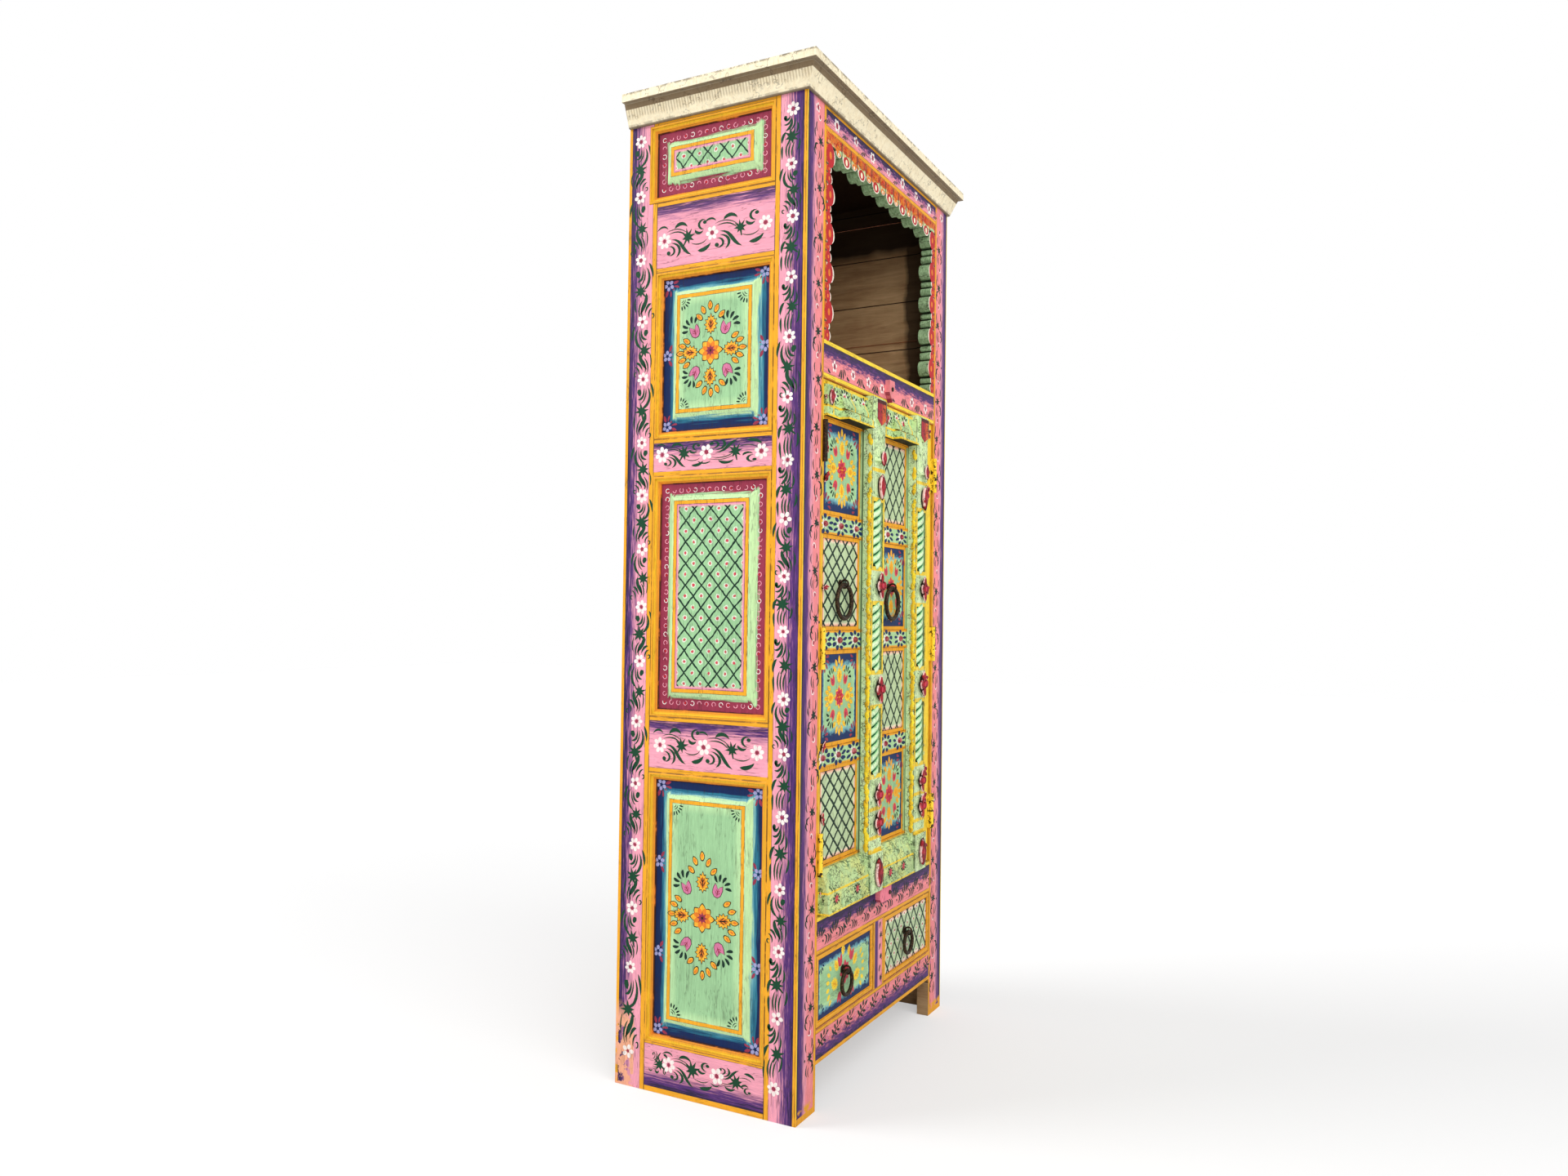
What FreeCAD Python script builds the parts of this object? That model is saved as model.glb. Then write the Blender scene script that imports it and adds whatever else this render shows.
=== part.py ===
import FreeCAD, Part

import math
import os

from FreeCAD import Placement, Rotation, Vector

# Painted cupboard with an open niche above, two carved door leaves and two drawers.
# Millimetres. X runs to the right, Y to the back, Z up. The origin lies on the floor
# under the middle of the whole footprint, cornice included.

DIMENSIONS = {
    # case
    "caseWidth": 760,
    "caseDepth": 410,
    "slabThickness": 17,
    "slabOverhang": 31,
    # front frame, from the floor up
    "frameThickness": 28,
    "stileWidth": 80,
    "legHeight": 87,
    "apronHeight": 66,
    "drawerOpening": 141,
    "lowerRailHeight": 72,
    "doorOpening": 1043,
    "midRailHeight": 73,
    "nicheOpening": 410,
    "topRailHeight": 91,
    "muntinWidth": 56,
    # framed sides, from the floor up
    "sideThickness": 22,
    "sideFrontStile": 40,
    "sideBackStile": 70,
    "sideStileNotch": 20,
    "sideBottomRail": 97,
    "sideThirdRail": 111,
    "longPanelHeight": 480,
    "sideSecondRail": 75,
    "squarePanelHeight": 337,
    "sideFirstRail": 143,
    "topPanelHeight": 160,
    "sideTopRail": 48,
    "mouldingWidth": 15,
    "mouldingRise": 1.5,
    "panelSink": 10,
    "panelThickness": 8,
    "fieldRise": 8,
    "borderWidth": 20,
    "bevelWidth": 15,
    # cornice
    "crownHeight": 44,
    "crownFoot": 5,
    "crownFlare": 22,
    # back and shelves
    "backThickness": 14,
    "backBoardGap": 0.5,
    "shelfThickness": 18,
    "shelfSetback": 24,
    # carved arch round the niche
    "archThickness": 26,
    "headBand": 24,
    "headLobeDrop": 20,
    "headCorner": 40,
    "jambBand": 9,
    "jambLobeReach": 32,
    "lobeNotch": 2,
    # door leaves
    "meetingOffset": 26,
    "meetingGap": 4,
    "hingeGap": 3.4,
    "doorGap": 2,
    "doorThickness": 24,
    "doorRecess": 5,
    "edgeStile": 10,
    "leftPilasterStile": 77,
    "rightPilasterStile": 148,
    "rightPilasterInset": 74,
    "doorTopRail": 72,
    "doorCrossRail": 37,
    "doorBottomRail": 90,
    "doorPanelRecess": 3,
    "doorPanelThickness": 10,
    "headerHeight": 66,
    "headerDrop": 5,
    "headerRise": 8,
    "hoodRise": 28,
    "hoodStepRise": 17,
    "hoodLipHeight": 18,
    "hoodGroove": 4,
    "hoodStepHeight": 26,
    "hoodWing": 57,
    "plinthHeight": 86,
    "plinthSlope": 44,
    "plinthRise": 21,
    "plinthTopRise": 7,
    "plinthFoot": 10,
    "plinthFootRise": 3,
    # twisted-rope pilasters on the leaves
    "pilasterWidth": 66,
    "pilasterRise": 20,
    "pilasterBorder": 8,
    "ropeLength": 137,
    "ropeBlock": 81,
    "ropeStart": 246,
    "ropeChannel": 10,
    "ropeHeight": 11,
    "strandPitch": 18.5,
    "strandGap": 1.6,
    "strandLean": 15,
    "shieldHeight": 54,
    "shieldWidth": 52,
    "shieldPoint": 15,
    "shieldRise": 6,
    "bellHeight": 30,
    "bellWidth": 50,
    "bellRise": 9,
    "bellDrop": 105,
    "footBlockHeight": 84,
    "footBlockRise": 5,
    "rosetteRadius": 20,
    "rosetteRise": 9,
    # ring pulls
    "ringStandoff": 10.5,
    "doorRingRadius": 34,
    "doorRingWire": 4.5,
    "doorRingDrop": 640,
    "drawerRingRadius": 23.5,
    "drawerRingWire": 4,
    "leftRingShift": 2,
    "rightRingShift": 17,
    "drawerRingShift": 12,
    "drawerRingDrop": 80,
    "ringClearance": 0.3,
    "eyeBore": 6,
    "eyeWire": 2,
    "roseRadius": 9,
    "roseThickness": 1.5,
    # butt hinges
    "hingeHeight": 82,
    "hingePlate": 1.5,
    "hingeDepth": 19,
    "hingeStandoff": 5,
    "knuckleRadius": 4.6,
    "pinRadius": 2.4,
    "pinClearance": 0.05,
    "knuckleClearance": 0.3,
    # turn-buttons and their screws
    "buttonThickness": 11,
    "buttonHalfWidth": 15,
    "topButtonTip": 29,
    "topButtonTop": 19,
    "topButtonShift": 16,
    "lowButtonHeight": 30,
    "lowButtonReach": 52,
    "lowButtonTail": 10,
    "lowButtonShift": 30,
    "lowButtonDrop": 17,
    "buttonClearance": 0.3,
    "screwHead": 4.5,
    "screwHeadRise": 2,
    "screwShank": 2.2,
    "screwBite": 18,
    # drawers
    "drawerGap": 1.5,
    "drawerRecess": 3,
    "drawerFrontThickness": 20,
    "drawerBackGap": 43,
    "drawerSideHeight": 108,
    "drawerSideThickness": 12,
    "drawerBottomThickness": 6,
    "drawerBottomLift": 8,
    "drawerBead": 9,
    "drawerBeadRise": 2,
    "runnerThickness": 12,
    "runnerReach": 16,
    "guideHeight": 30,
    "guideClearance": 1,
    "runnerClearance": 0.3,
    # one overrun for every cut
    "overrun": 5,
}

BACK_BOARDS = 5
KNUCKLES = 5
ROPES = 3
DOOR_PANELS = 4
ROSETTE_POINTS = 8
HINGE_LEVEL_SHARES = (0.113, 0.495, 0.882)
UPPER_ROSETTE_SHARES = (0.53,)
LOWER_ROSETTE_SHARES = (0.53, 1.25)
ROSETTE_NOTCH_SHARE = 0.68
ROSETTE_STEP_SHARES = ((1, 0), (1, 0.35), (0.3, 1))

# scalloped edges: how often their pattern repeats, and the lobes of one period
HEAD_PERIODS = 7
HEAD_CHORD_SHARES = (0.42, 0.58)
HEAD_REACH_SHARES = (0.55, 1)
JAMB_PERIODS = 5
JAMB_CHORD_SHARES = (0.27, 0.2, 0.53)
JAMB_REACH_SHARES = (0.62, 0.5, 1)

# one strand of a rope: stations across its half width, and the shape of its section
STRAND_STATION_SHARES = (-0.94, -0.5, 0, 0.5, 0.94)
STRAND_FALL_SHARE = 0.85
STRAND_SHOULDER_SHARE = 0.62
STRAND_BODY_SHARE = 0.43

# bell under the shield: drop, reach and rise of its sections, and the width of its front
BELL_STEP_SHARES = ((0, 0.45, 0.3), (0.7, 0.7, 0.7), (1, 1, 1))
BELL_FRONT_SHARE = 0.6

# outline of the upper turn-button
BUTTON_TIP_SHARE = 0.6
BUTTON_WAIST_SHARE = 0.4
BUTTON_TOP_SHARE = 0.9


class Length:
    """A number together with the sheet formula that it comes from."""

    def __init__(self, formula, number):
        self.formula = formula
        self.number = number

    def joined(self, sign, other, number):
        right = other.formula if isinstance(other, Length) else repr(other)
        return Length("(%s %s %s)" % (self.formula, sign, right), number)

    def __add__(self, other):
        return self.joined("+", other, self.number + float(other))

    def __sub__(self, other):
        return self.joined("-", other, self.number - float(other))

    def __mul__(self, other):
        return self.joined("*", other, self.number * float(other))

    def __truediv__(self, other):
        return self.joined("/", other, self.number / float(other))

    def __neg__(self):
        return Length("(0 - %s)" % self.formula, -self.number)

    def __float__(self):
        return float(self.number)


class Sizes:
    """The driving dimensions, read back from the sheet by their names."""


doc = FreeCAD.newDocument("cupboard")
sheet = doc.addObject("Spreadsheet::Sheet", "Sizes")
for row, (alias, number) in enumerate(DIMENSIONS.items(), start=1):
    sheet.set("A%d" % row, alias)
    sheet.set("B%d" % row, str(number))
    sheet.setAlias("B%d" % row, alias)
doc.recompute()

s = Sizes()
for alias in DIMENSIONS:
    setattr(s, alias, Length("Sizes." + alias, float(sheet.get(alias))))

zero = Length("0", 0.0)
subparts = []


# places that several sub-parts share
caseLeft = -s.caseWidth / 2
caseRight = s.caseWidth / 2
caseFront = (s.slabOverhang - s.caseDepth) / 2
caseBack = (s.slabOverhang + s.caseDepth) / 2
frameBack = caseFront + s.frameThickness
openingLeft = caseLeft + s.stileWidth
openingRight = caseRight - s.stileWidth
openingWidth = openingRight - openingLeft
innerLeft = caseLeft + s.sideThickness
innerRight = caseRight - s.sideThickness
backFace = caseBack - s.backThickness

apronTop = s.legHeight + s.apronHeight
drawerTop = apronTop + s.drawerOpening
doorBottom = drawerTop + s.lowerRailHeight
doorTop = doorBottom + s.doorOpening
nicheBottom = doorTop + s.midRailHeight
nicheTop = nicheBottom + s.nicheOpening
bodyHeight = nicheTop + s.topRailHeight
muntinLeft = -s.muntinWidth / 2
muntinRight = s.muntinWidth / 2

leafFront = caseFront + s.doorRecess
leafBack = leafFront + s.doorThickness
leafBottom = doorBottom + s.doorGap
leafTop = doorTop - s.doorGap
leafHeight = leafTop - leafBottom
meetingLine = -s.meetingOffset

topButtonPivot = doorTop + s.doorGap + s.topButtonTip
lowButtonPivot = doorBottom - s.lowButtonDrop


def bind(item, prop, length):
    item.setExpression(prop, length.formula)


def placeAt(item, x, y, z):
    bind(item, "Placement.Base.x", x)
    bind(item, "Placement.Base.y", y)
    bind(item, "Placement.Base.z", z)


def point(x, y, z):
    return Vector(float(x), float(y), float(z))


def subpart(name, item):
    """Gives a document object its name as a sub-part that is written out."""
    item.Label = name
    subparts.append(item)
    return item


def board(name, x, y, z):
    """A straight board between three pairs of faces."""
    box = doc.addObject("Part::Box", name)
    bind(box, "Length", x[1] - x[0])
    bind(box, "Width", y[1] - y[0])
    bind(box, "Height", z[1] - z[0])
    placeAt(box, x[0], y[0], z[0])
    return box


def rod(name, radius, length, base, direction):
    """A round bar from base along direction."""
    cylinder = doc.addObject("Part::Cylinder", name)
    bind(cylinder, "Radius", radius)
    bind(cylinder, "Height", length)
    cylinder.Placement.Rotation = Rotation(Vector(0, 0, 1), direction)
    placeAt(cylinder, *base)
    return cylinder


def ring(name, radius, wire, centre, direction):
    torus = doc.addObject("Part::Torus", name)
    bind(torus, "Radius1", radius)
    bind(torus, "Radius2", wire)
    torus.Placement.Rotation = Rotation(Vector(0, 0, 1), direction)
    placeAt(torus, *centre)
    return torus


def cut(name, base, tool):
    result = doc.addObject("Part::Cut", name)
    result.Base = base
    result.Tool = tool
    return result


def fuse(name, items):
    result = doc.addObject("Part::MultiFuse", name)
    result.Shapes = items
    return result


def group(name, items):
    """Separate solids that share one node."""
    result = doc.addObject("Part::Compound", name)
    result.Links = items
    return result


def carved(name, shape):
    """A form that neither a primitive nor a padded sketch gives."""
    feature = doc.addObject("Part::Feature", name)
    feature.Shape = shape
    return feature


def originPlane(body, role):
    return next(plane for plane in body.Origin.OriginFeatures if plane.Role == role)


def padded(name, role, outline, thickness, base):
    """A body padded from a flat outline on one of its own origin planes."""
    body = doc.addObject("PartDesign::Body", name)
    sketch = body.newObject("Sketcher::SketchObject", name + "Outline")
    sketch.AttachmentSupport = [(originPlane(body, role), "")]
    sketch.MapMode = "FlatFace"
    sketch.addGeometry(outline, False)
    pad = body.newObject("PartDesign::Pad", name + "Pad")
    pad.Profile = sketch
    bind(pad, "Length", thickness)
    placeAt(body, *base)
    return body


def polygon(points):
    """Closed run of straight lines through flat points."""
    corners = [point(x, y, 0) for x, y in points]
    following = corners[1:] + corners[:1]
    return [Part.LineSegment(start, end) for start, end in zip(corners, following)]


def mitredStrip(profile, length, place, mitres):
    """A strip whose ends run along its profile's width: a profile point is (across, up)."""
    ends = []
    for start, mitred in ((True, mitres[0]), (False, mitres[1])):
        corners = []
        for across, up in profile:
            shift = across if mitred else 0
            along = shift if start else length - shift
            corners.append(place(along, across, up))
        ends.append(Part.makePolygon(corners + corners[:1]))
    return Part.makeLoft(ends, True, True)


def makeFrontFrame():
    """Stiles, rails and drawer muntin that face the room."""
    depth = (caseFront, frameBack)
    opening = (openingLeft, openingRight)
    height = (zero, bodyHeight)
    subpart("front_left_stile", board("frontLeftStile", (caseLeft, openingLeft), depth, height))
    subpart("front_right_stile", board("frontRightStile", (openingRight, caseRight), depth, height))
    subpart("front_top_rail", board("frontTopRail", opening, depth, (nicheTop, bodyHeight)))
    subpart("front_apron", board("frontApron", opening, depth, (s.legHeight, apronTop)))
    subpart("drawer_muntin", board("drawerMuntin", (muntinLeft, muntinRight), depth, (apronTop, drawerTop)))
    rails = (
        ("front_mid_rail", (doorTop, nicheBottom), s.topButtonShift, topButtonPivot),
        ("front_lower_rail", (drawerTop, doorBottom), s.lowButtonShift, lowButtonPivot),
    )
    for name, height, screwX, screwZ in rails:
        rail = board(name + "Board", opening, depth, height)
        hole = rod(name + "Hole", s.screwShank + s.pinClearance, s.screwBite + s.overrun,
                   (screwX, caseFront - s.overrun, screwZ), Vector(0, 1, 0))
        subpart(name, cut(name, rail, hole))


def sideLevels():
    """Rails and panel openings of a framed side, from the floor up."""
    railHeights = (s.sideBottomRail, s.sideThirdRail, s.sideSecondRail, s.sideFirstRail)
    tallPanel = bodyHeight - s.sideTopRail
    for height in railHeights + (s.longPanelHeight, s.squarePanelHeight, s.topPanelHeight):
        tallPanel = tallPanel - height
    panelHeights = (tallPanel, s.longPanelHeight, s.squarePanelHeight, s.topPanelHeight)
    level = zero
    rails = []
    openings = []
    for railHeight, panelHeight in zip(railHeights, panelHeights):
        rails.append((level, level + railHeight))
        openings.append((level + railHeight, level + railHeight + panelHeight))
        level = level + railHeight + panelHeight
    rails.append((level, bodyHeight))
    return rails, openings


def makeSide(side, sign):
    """One framed side: two stiles, rails, raised panels and the mouldings round them."""
    outer = caseLeft if sign < 0 else caseRight
    inner = innerLeft if sign < 0 else innerRight
    thick = (outer, inner) if sign < 0 else (inner, outer)
    rails, openings = sideLevels()
    stileEdge = frameBack + s.sideFrontStile
    backEdge = caseBack - s.sideBackStile
    notchEdge = backEdge + s.sideStileNotch

    front = board(side + "FrontStile", thick, (frameBack, stileEdge), (zero, bodyHeight))
    subpart(side + "_side_front_stile", front)
    back = board(side + "BackStileBoard", thick, (backEdge, caseBack), (zero, bodyHeight))
    notch = board(side + "BackStileNotch", (thick[0] - s.overrun, thick[1] + s.overrun),
                  (backEdge - s.overrun, notchEdge), openings[-1])
    subpart(side + "_side_back_stile", cut(side + "BackStile", back, notch))

    railBoards = []
    panels = []
    strips = []
    for number, height in enumerate(rails, start=1):
        railBoards.append(board("%sRail%d" % (side, number), thick, (stileEdge, backEdge), height))
    for number, height in enumerate(openings, start=1):
        across = (stileEdge, notchEdge if number == len(openings) else backEdge)
        panels.append(makeRaisedPanel("%sPanel%d" % (side, number), outer, -sign, across, height))
        strips += makeMouldings("%sMoulding%d" % (side, number), outer, -sign, across, height)
    subpart(side + "_side_rails", group(side + "Rails", railBoards))
    subpart(side + "_side_panels", group(side + "Panels", panels))
    subpart(side + "_side_mouldings", group(side + "Mouldings", strips))


def makeRaisedPanel(name, outer, inward, across, height):
    """A panel with a flat border, a bevel and a raised field."""
    face = outer + s.panelSink * inward
    rear = face + s.panelThickness * inward
    thick = (face, rear) if inward > 0 else (rear, face)
    slab = board(name + "Slab", thick, across, height)
    edge = s.mouldingWidth + s.borderWidth
    field = doc.addObject("Part::Wedge", name + "Field")
    width = across[1] - across[0] - edge * 2
    tall = height[1] - height[0] - edge * 2
    bind(field, "Ymax", s.fieldRise)
    bind(field, "Xmax", tall)
    bind(field, "Zmax", width)
    bind(field, "X2min", s.bevelWidth)
    bind(field, "Z2min", s.bevelWidth)
    bind(field, "X2max", tall - s.bevelWidth)
    bind(field, "Z2max", width - s.bevelWidth)
    # the wedge grows along its own Y, which is turned to point out of the case
    field.Placement.Rotation = Rotation(Vector(0, 0, -inward), Vector(-inward, 0, 0), Vector(0, 1, 0), "ZYX")
    start = height[1] - edge if inward > 0 else height[0] + edge
    placeAt(field, face, across[0] + edge, start)
    return fuse(name, [slab, field])


def makeMouldings(name, outer, inward, across, height):
    """Four mitred strips, stepped down from the frame to the panel."""
    third = float(s.mouldingWidth) / 3
    rise = float(s.mouldingRise)
    sink = -float(s.panelSink)
    profile = (
        (0, sink), (0, 0), (third / 2, rise), (third, rise), (third, sink / 4),
        (third * 2, sink / 4), (third * 5 / 2, sink / 2), (third * 3, sink * 3 / 4), (third * 3, sink),
    )
    width = float(across[1] - across[0])
    tall = float(height[1] - height[0])
    out = -inward

    def bottom(along, over, up):
        return point(outer + up * out, across[0] + along, height[0] + over)

    def top(along, over, up):
        return point(outer + up * out, across[0] + along, height[1] - over)

    def front(along, over, up):
        return point(outer + up * out, across[0] + over, height[0] + along)

    def rear(along, over, up):
        return point(outer + up * out, across[1] - over, height[0] + along)

    runs = ((bottom, width), (top, width), (front, tall), (rear, tall))
    strips = []
    for number, (place, length) in enumerate(runs, start=1):
        strip = mitredStrip(profile, length, place, (True, True))
        strips.append(carved("%sStrip%d" % (name, number), strip))
    return strips


def makeCornice():
    """Flared crown boards mitred at the front corners, under a flat slab."""
    foot = float(bodyHeight - s.crownHeight)
    high = float(s.crownHeight)
    # across is measured outwards here, so the mitres run the other way
    profile = ((0, 0), (-float(s.crownFoot), 0), (-float(s.crownFlare), high), (0, high))

    def front(along, over, up):
        return point(caseLeft + along, caseFront + over, foot + up)

    def left(along, over, up):
        return point(caseLeft + over, caseFront + along, foot + up)

    def right(along, over, up):
        return point(caseRight - over, caseFront + along, foot + up)

    width = float(s.caseWidth)
    depth = float(s.caseDepth)
    crown = [carved("corniceFront", mitredStrip(profile, width, front, (True, True)))]
    for name, place in (("corniceLeft", left), ("corniceRight", right)):
        crown.append(carved(name, mitredStrip(profile, depth, place, (True, False))))
    subpart("cornice_crown", group("corniceCrown", crown))
    slab = board("corniceSlab", (caseLeft - s.slabOverhang, caseRight + s.slabOverhang),
                 (caseFront - s.slabOverhang, caseBack), (bodyHeight, bodyHeight + s.slabThickness))
    subpart("cornice_slab", slab)


def makeInside():
    """Back boards, niche floor, cupboard shelf and floor, and the drawer runners."""
    boards = []
    thick = (backFace, caseBack)
    pitch = (innerRight - innerLeft) / BACK_BOARDS
    for number in range(BACK_BOARDS):
        left = innerLeft + pitch * number
        span = (left + s.backBoardGap, left + pitch - s.backBoardGap)
        boards.append(board("backBoard%d" % (number + 1), span, thick, (s.legHeight, bodyHeight)))
    subpart("back_boards", group("backBoards", boards))

    inside = (innerLeft, innerRight)
    deep = (frameBack, backFace)
    shelfTop = doorBottom + s.doorOpening / 2
    shelfDepth = (frameBack + s.shelfSetback, backFace)
    shelves = (("niche_floor", "nicheFloor", deep, nicheBottom),
               ("cupboard_shelf", "cupboardShelf", shelfDepth, shelfTop),
               ("cupboard_floor", "cupboardFloor", deep, doorBottom))
    for name, feature, depth, top in shelves:
        subpart(name, board(feature, inside, depth, (top - s.shelfThickness, top)))

    runnerTop = apronTop + s.drawerGap - s.runnerClearance
    reach = s.drawerSideThickness + s.runnerReach
    spans = (
        ("left", (innerLeft, openingLeft + reach), (innerLeft, openingLeft + s.drawerGap - s.guideClearance)),
        ("centre", (muntinLeft - reach, muntinRight + reach),
         (muntinLeft - s.drawerGap + s.guideClearance, muntinRight + s.drawerGap - s.guideClearance)),
        ("right", (openingRight - reach, innerRight),
         (openingRight - s.drawerGap + s.guideClearance, innerRight)),
    )
    rails = []
    for name, runner, guide in spans:
        lower = board(name + "Runner", runner, deep, (runnerTop - s.runnerThickness, runnerTop))
        upper = board(name + "Guide", guide, deep, (runnerTop, runnerTop + s.guideHeight))
        rails += [lower, upper]
    subpart("drawer_runners", group("drawerRunners", rails))


def lobe(start, end, reach):
    """One rounded lobe of a scalloped edge, from start to end along the edge."""
    middle = (start + end) / 2
    radius = (end - start) / 2
    if reach <= radius:
        return [((start, 0), (middle, reach), (end, 0))]
    shoulder = reach - radius
    return [
        ((start, 0), (start, shoulder)),
        ((start, shoulder), (middle, reach), (end, shoulder)),
        ((end, shoulder), (end, 0)),
    ]


def scallopedOutline(length, band, margin, periods, reach, chordShares, reachShares, place):
    """Band with a scalloped edge: each period has lobes of different size, a notch after each."""
    notch = float(s.lobeNotch)
    chordScale = (length - 2 * margin) / periods - notch * len(chordShares)
    runs = []
    position = margin
    for number in range(periods):
        for chordShare, reachShare in zip(chordShares, reachShares):
            chord = chordScale * chordShare
            runs.append(((position, 0), (position + notch / 2, 0)))
            runs += lobe(position + notch / 2, position + notch / 2 + chord, reach * reachShare)
            runs.append(((position + notch / 2 + chord, 0), (position + notch + chord, 0)))
            position += notch + chord
    if margin:
        runs.insert(0, ((0, 0), (margin, 0)))
        runs.append(((length - margin, 0), (length, 0)))
    runs += [((length, 0), (length, -band)), ((length, -band), (0, -band)), ((0, -band), (0, 0))]
    edges = []
    for run in runs:
        corners = [place(along, out) for along, out in run]
        edges.append(Part.Arc(*corners) if len(corners) == 3 else Part.LineSegment(*corners))
    return edges


def makeArch():
    """Scalloped head and jambs, set in the niche flush with the frame."""
    band = float(s.headBand)
    jamb = float(s.jambBand)
    width = float(openingWidth)
    tall = float(s.nicheOpening - s.headBand)
    base = (zero, caseFront + s.archThickness, zero)

    def head(along, out):
        return point(openingLeft + along, nicheTop - band - out, 0)

    def left(along, out):
        return point(openingLeft + jamb + out, nicheBottom + along, 0)

    def right(along, out):
        return point(openingRight - jamb - out, nicheBottom + along, 0)

    outline = scallopedOutline(width, band, float(s.headCorner), HEAD_PERIODS, float(s.headLobeDrop),
                               HEAD_CHORD_SHARES, HEAD_REACH_SHARES, head)
    subpart("arch_head", padded("archHead", "XZ_Plane", outline, s.archThickness, base))
    for name, place in (("arch_left_jamb", left), ("arch_right_jamb", right)):
        outline = scallopedOutline(tall, jamb, 0, JAMB_PERIODS, float(s.jambLobeReach),
                                   JAMB_CHORD_SHARES, JAMB_REACH_SHARES, place)
        subpart(name, padded(name + "Body", "XZ_Plane", outline, s.archThickness, base))


def ropeStrand(centreX, centreZ, halfWidth, floorY, base, crest, lean):
    """One strand of a rope: it leans up to the right in an S and falls off at both sides."""
    stations = []
    body = base * STRAND_BODY_SHARE
    for share in STRAND_STATION_SHARES:
        x = centreX + halfWidth * share
        z = centreZ + lean / 2 * math.sin(share * math.pi / 2)
        high = crest * math.sqrt(1 - STRAND_FALL_SHARE * share * share)
        shoulder = floorY - high * STRAND_SHOULDER_SHARE
        corners = [
            Vector(x, floorY, z - base / 2), Vector(x, shoulder, z - body), Vector(x, floorY - high, z),
            Vector(x, shoulder, z + body), Vector(x, floorY, z + base / 2),
        ]
        stations.append(Part.makePolygon(corners + corners[:1]))
    return Part.makeLoft(stations, True, True)


def pilasterLevels():
    """Bottom of each rope, and the middles of the blocks that carry rosettes."""
    pitch = float(s.ropeLength + s.ropeBlock)
    first = float(leafBottom + s.ropeStart)
    ropes = [first + pitch * number for number in range(ROPES)]
    between = [level - float(s.ropeBlock) / 2 for level in ropes[1:]]
    top = ropes[-1] + float(s.ropeLength)
    below = [first - float(s.ropeBlock) * share for share in LOWER_ROSETTE_SHARES]
    above = [top + float(s.ropeBlock) * share for share in UPPER_ROSETTE_SHARES]
    return ropes, between + below + above


def makePilaster(leaf, left):
    """Carved post: three twisted ropes sunk between borders, with blocks between them."""
    width = float(s.pilasterWidth)
    border = float(s.pilasterBorder)
    over = float(s.overrun)
    front = leafFront - s.pilasterRise
    floorY = float(front + s.ropeChannel)
    low = point(left, front, leafBottom)
    post = Part.makeBox(width, float(s.pilasterRise), float(leafHeight), low)
    ropes, rosettes = pilasterLevels()
    middle = float(left) + width / 2
    pitch = float(s.strandPitch)
    base = pitch - float(s.strandGap)
    length = float(s.ropeLength)
    count = int((length - float(s.strandLean)) / pitch)
    spare = (length - float(s.strandLean) - pitch * count) / 2
    strands = []
    for rope in ropes:
        channel = Part.makeBox(width - 2 * border, float(s.ropeChannel) + over, length,
                               Vector(float(left) + border, float(front) - over, rope))
        post = post.cut(channel)
        for number in range(count):
            level = rope + float(s.strandLean) / 2 + spare + pitch * (number + 0.5)
            strands.append(ropeStrand(middle, level, width / 2 - border, floorY, base,
                                      float(s.ropeHeight), float(s.strandLean)))
    foot = Part.makeBox(width, float(s.footBlockRise), float(s.footBlockHeight),
                        point(left, front - s.footBlockRise, leafBottom))
    capital = [shield(middle, float(front)), bell(middle, float(front)), foot]
    shape = post.fuse(strands + capital).removeSplitter()
    subpart(leaf + "_door_pilaster", carved(leaf + "Pilaster", shape))
    stars = [rosette(middle, float(front), level) for level in rosettes]
    shieldMiddle = leafTop - s.headerDrop - (s.shieldHeight - s.shieldPoint) / 2
    stars.append(rosette(middle, float(front - s.shieldRise), float(shieldMiddle)))
    stars.append(rosette(middle, float(front - s.footBlockRise), float(leafBottom + s.footBlockHeight / 2)))
    bosses = [carved("%sRosette%d" % (leaf, number), star) for number, star in enumerate(stars, start=1)]
    subpart(leaf + "_door_rosettes", group(leaf + "Rosettes", bosses))


def shield(x, y):
    """Flat shield with a pointed foot at the top of a pilaster."""
    half = float(s.shieldWidth) / 2
    top = float(leafTop - s.headerDrop)
    foot = top - float(s.shieldHeight)
    shoulder = foot + float(s.shieldPoint)
    corners = [
        Vector(x - half, y, top), Vector(x - half, y, shoulder), Vector(x, y, foot),
        Vector(x + half, y, shoulder), Vector(x + half, y, top),
    ]
    face = Part.Face(Part.makePolygon(corners + corners[:1]))
    return face.extrude(Vector(0, -float(s.shieldRise), 0))


def bell(x, y):
    """Bell-shaped carving under the shield that flares to a lip."""
    half = float(s.bellWidth) / 2
    top = float(leafTop - s.bellDrop)
    tall = float(s.bellHeight)
    rise = float(s.bellRise)
    wires = []
    for dropShare, reachShare, riseShare in BELL_STEP_SHARES:
        level = top - tall * dropShare
        reach = half * reachShare
        front = y - rise * riseShare
        inner = reach * BELL_FRONT_SHARE
        corners = [Vector(x - reach, y, level), Vector(x + reach, y, level), Vector(x + inner, front, level),
                   Vector(x - inner, front, level)]
        wires.append(Part.makePolygon(corners + corners[:1]))
    return Part.makeLoft(wires, True, True)


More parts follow.
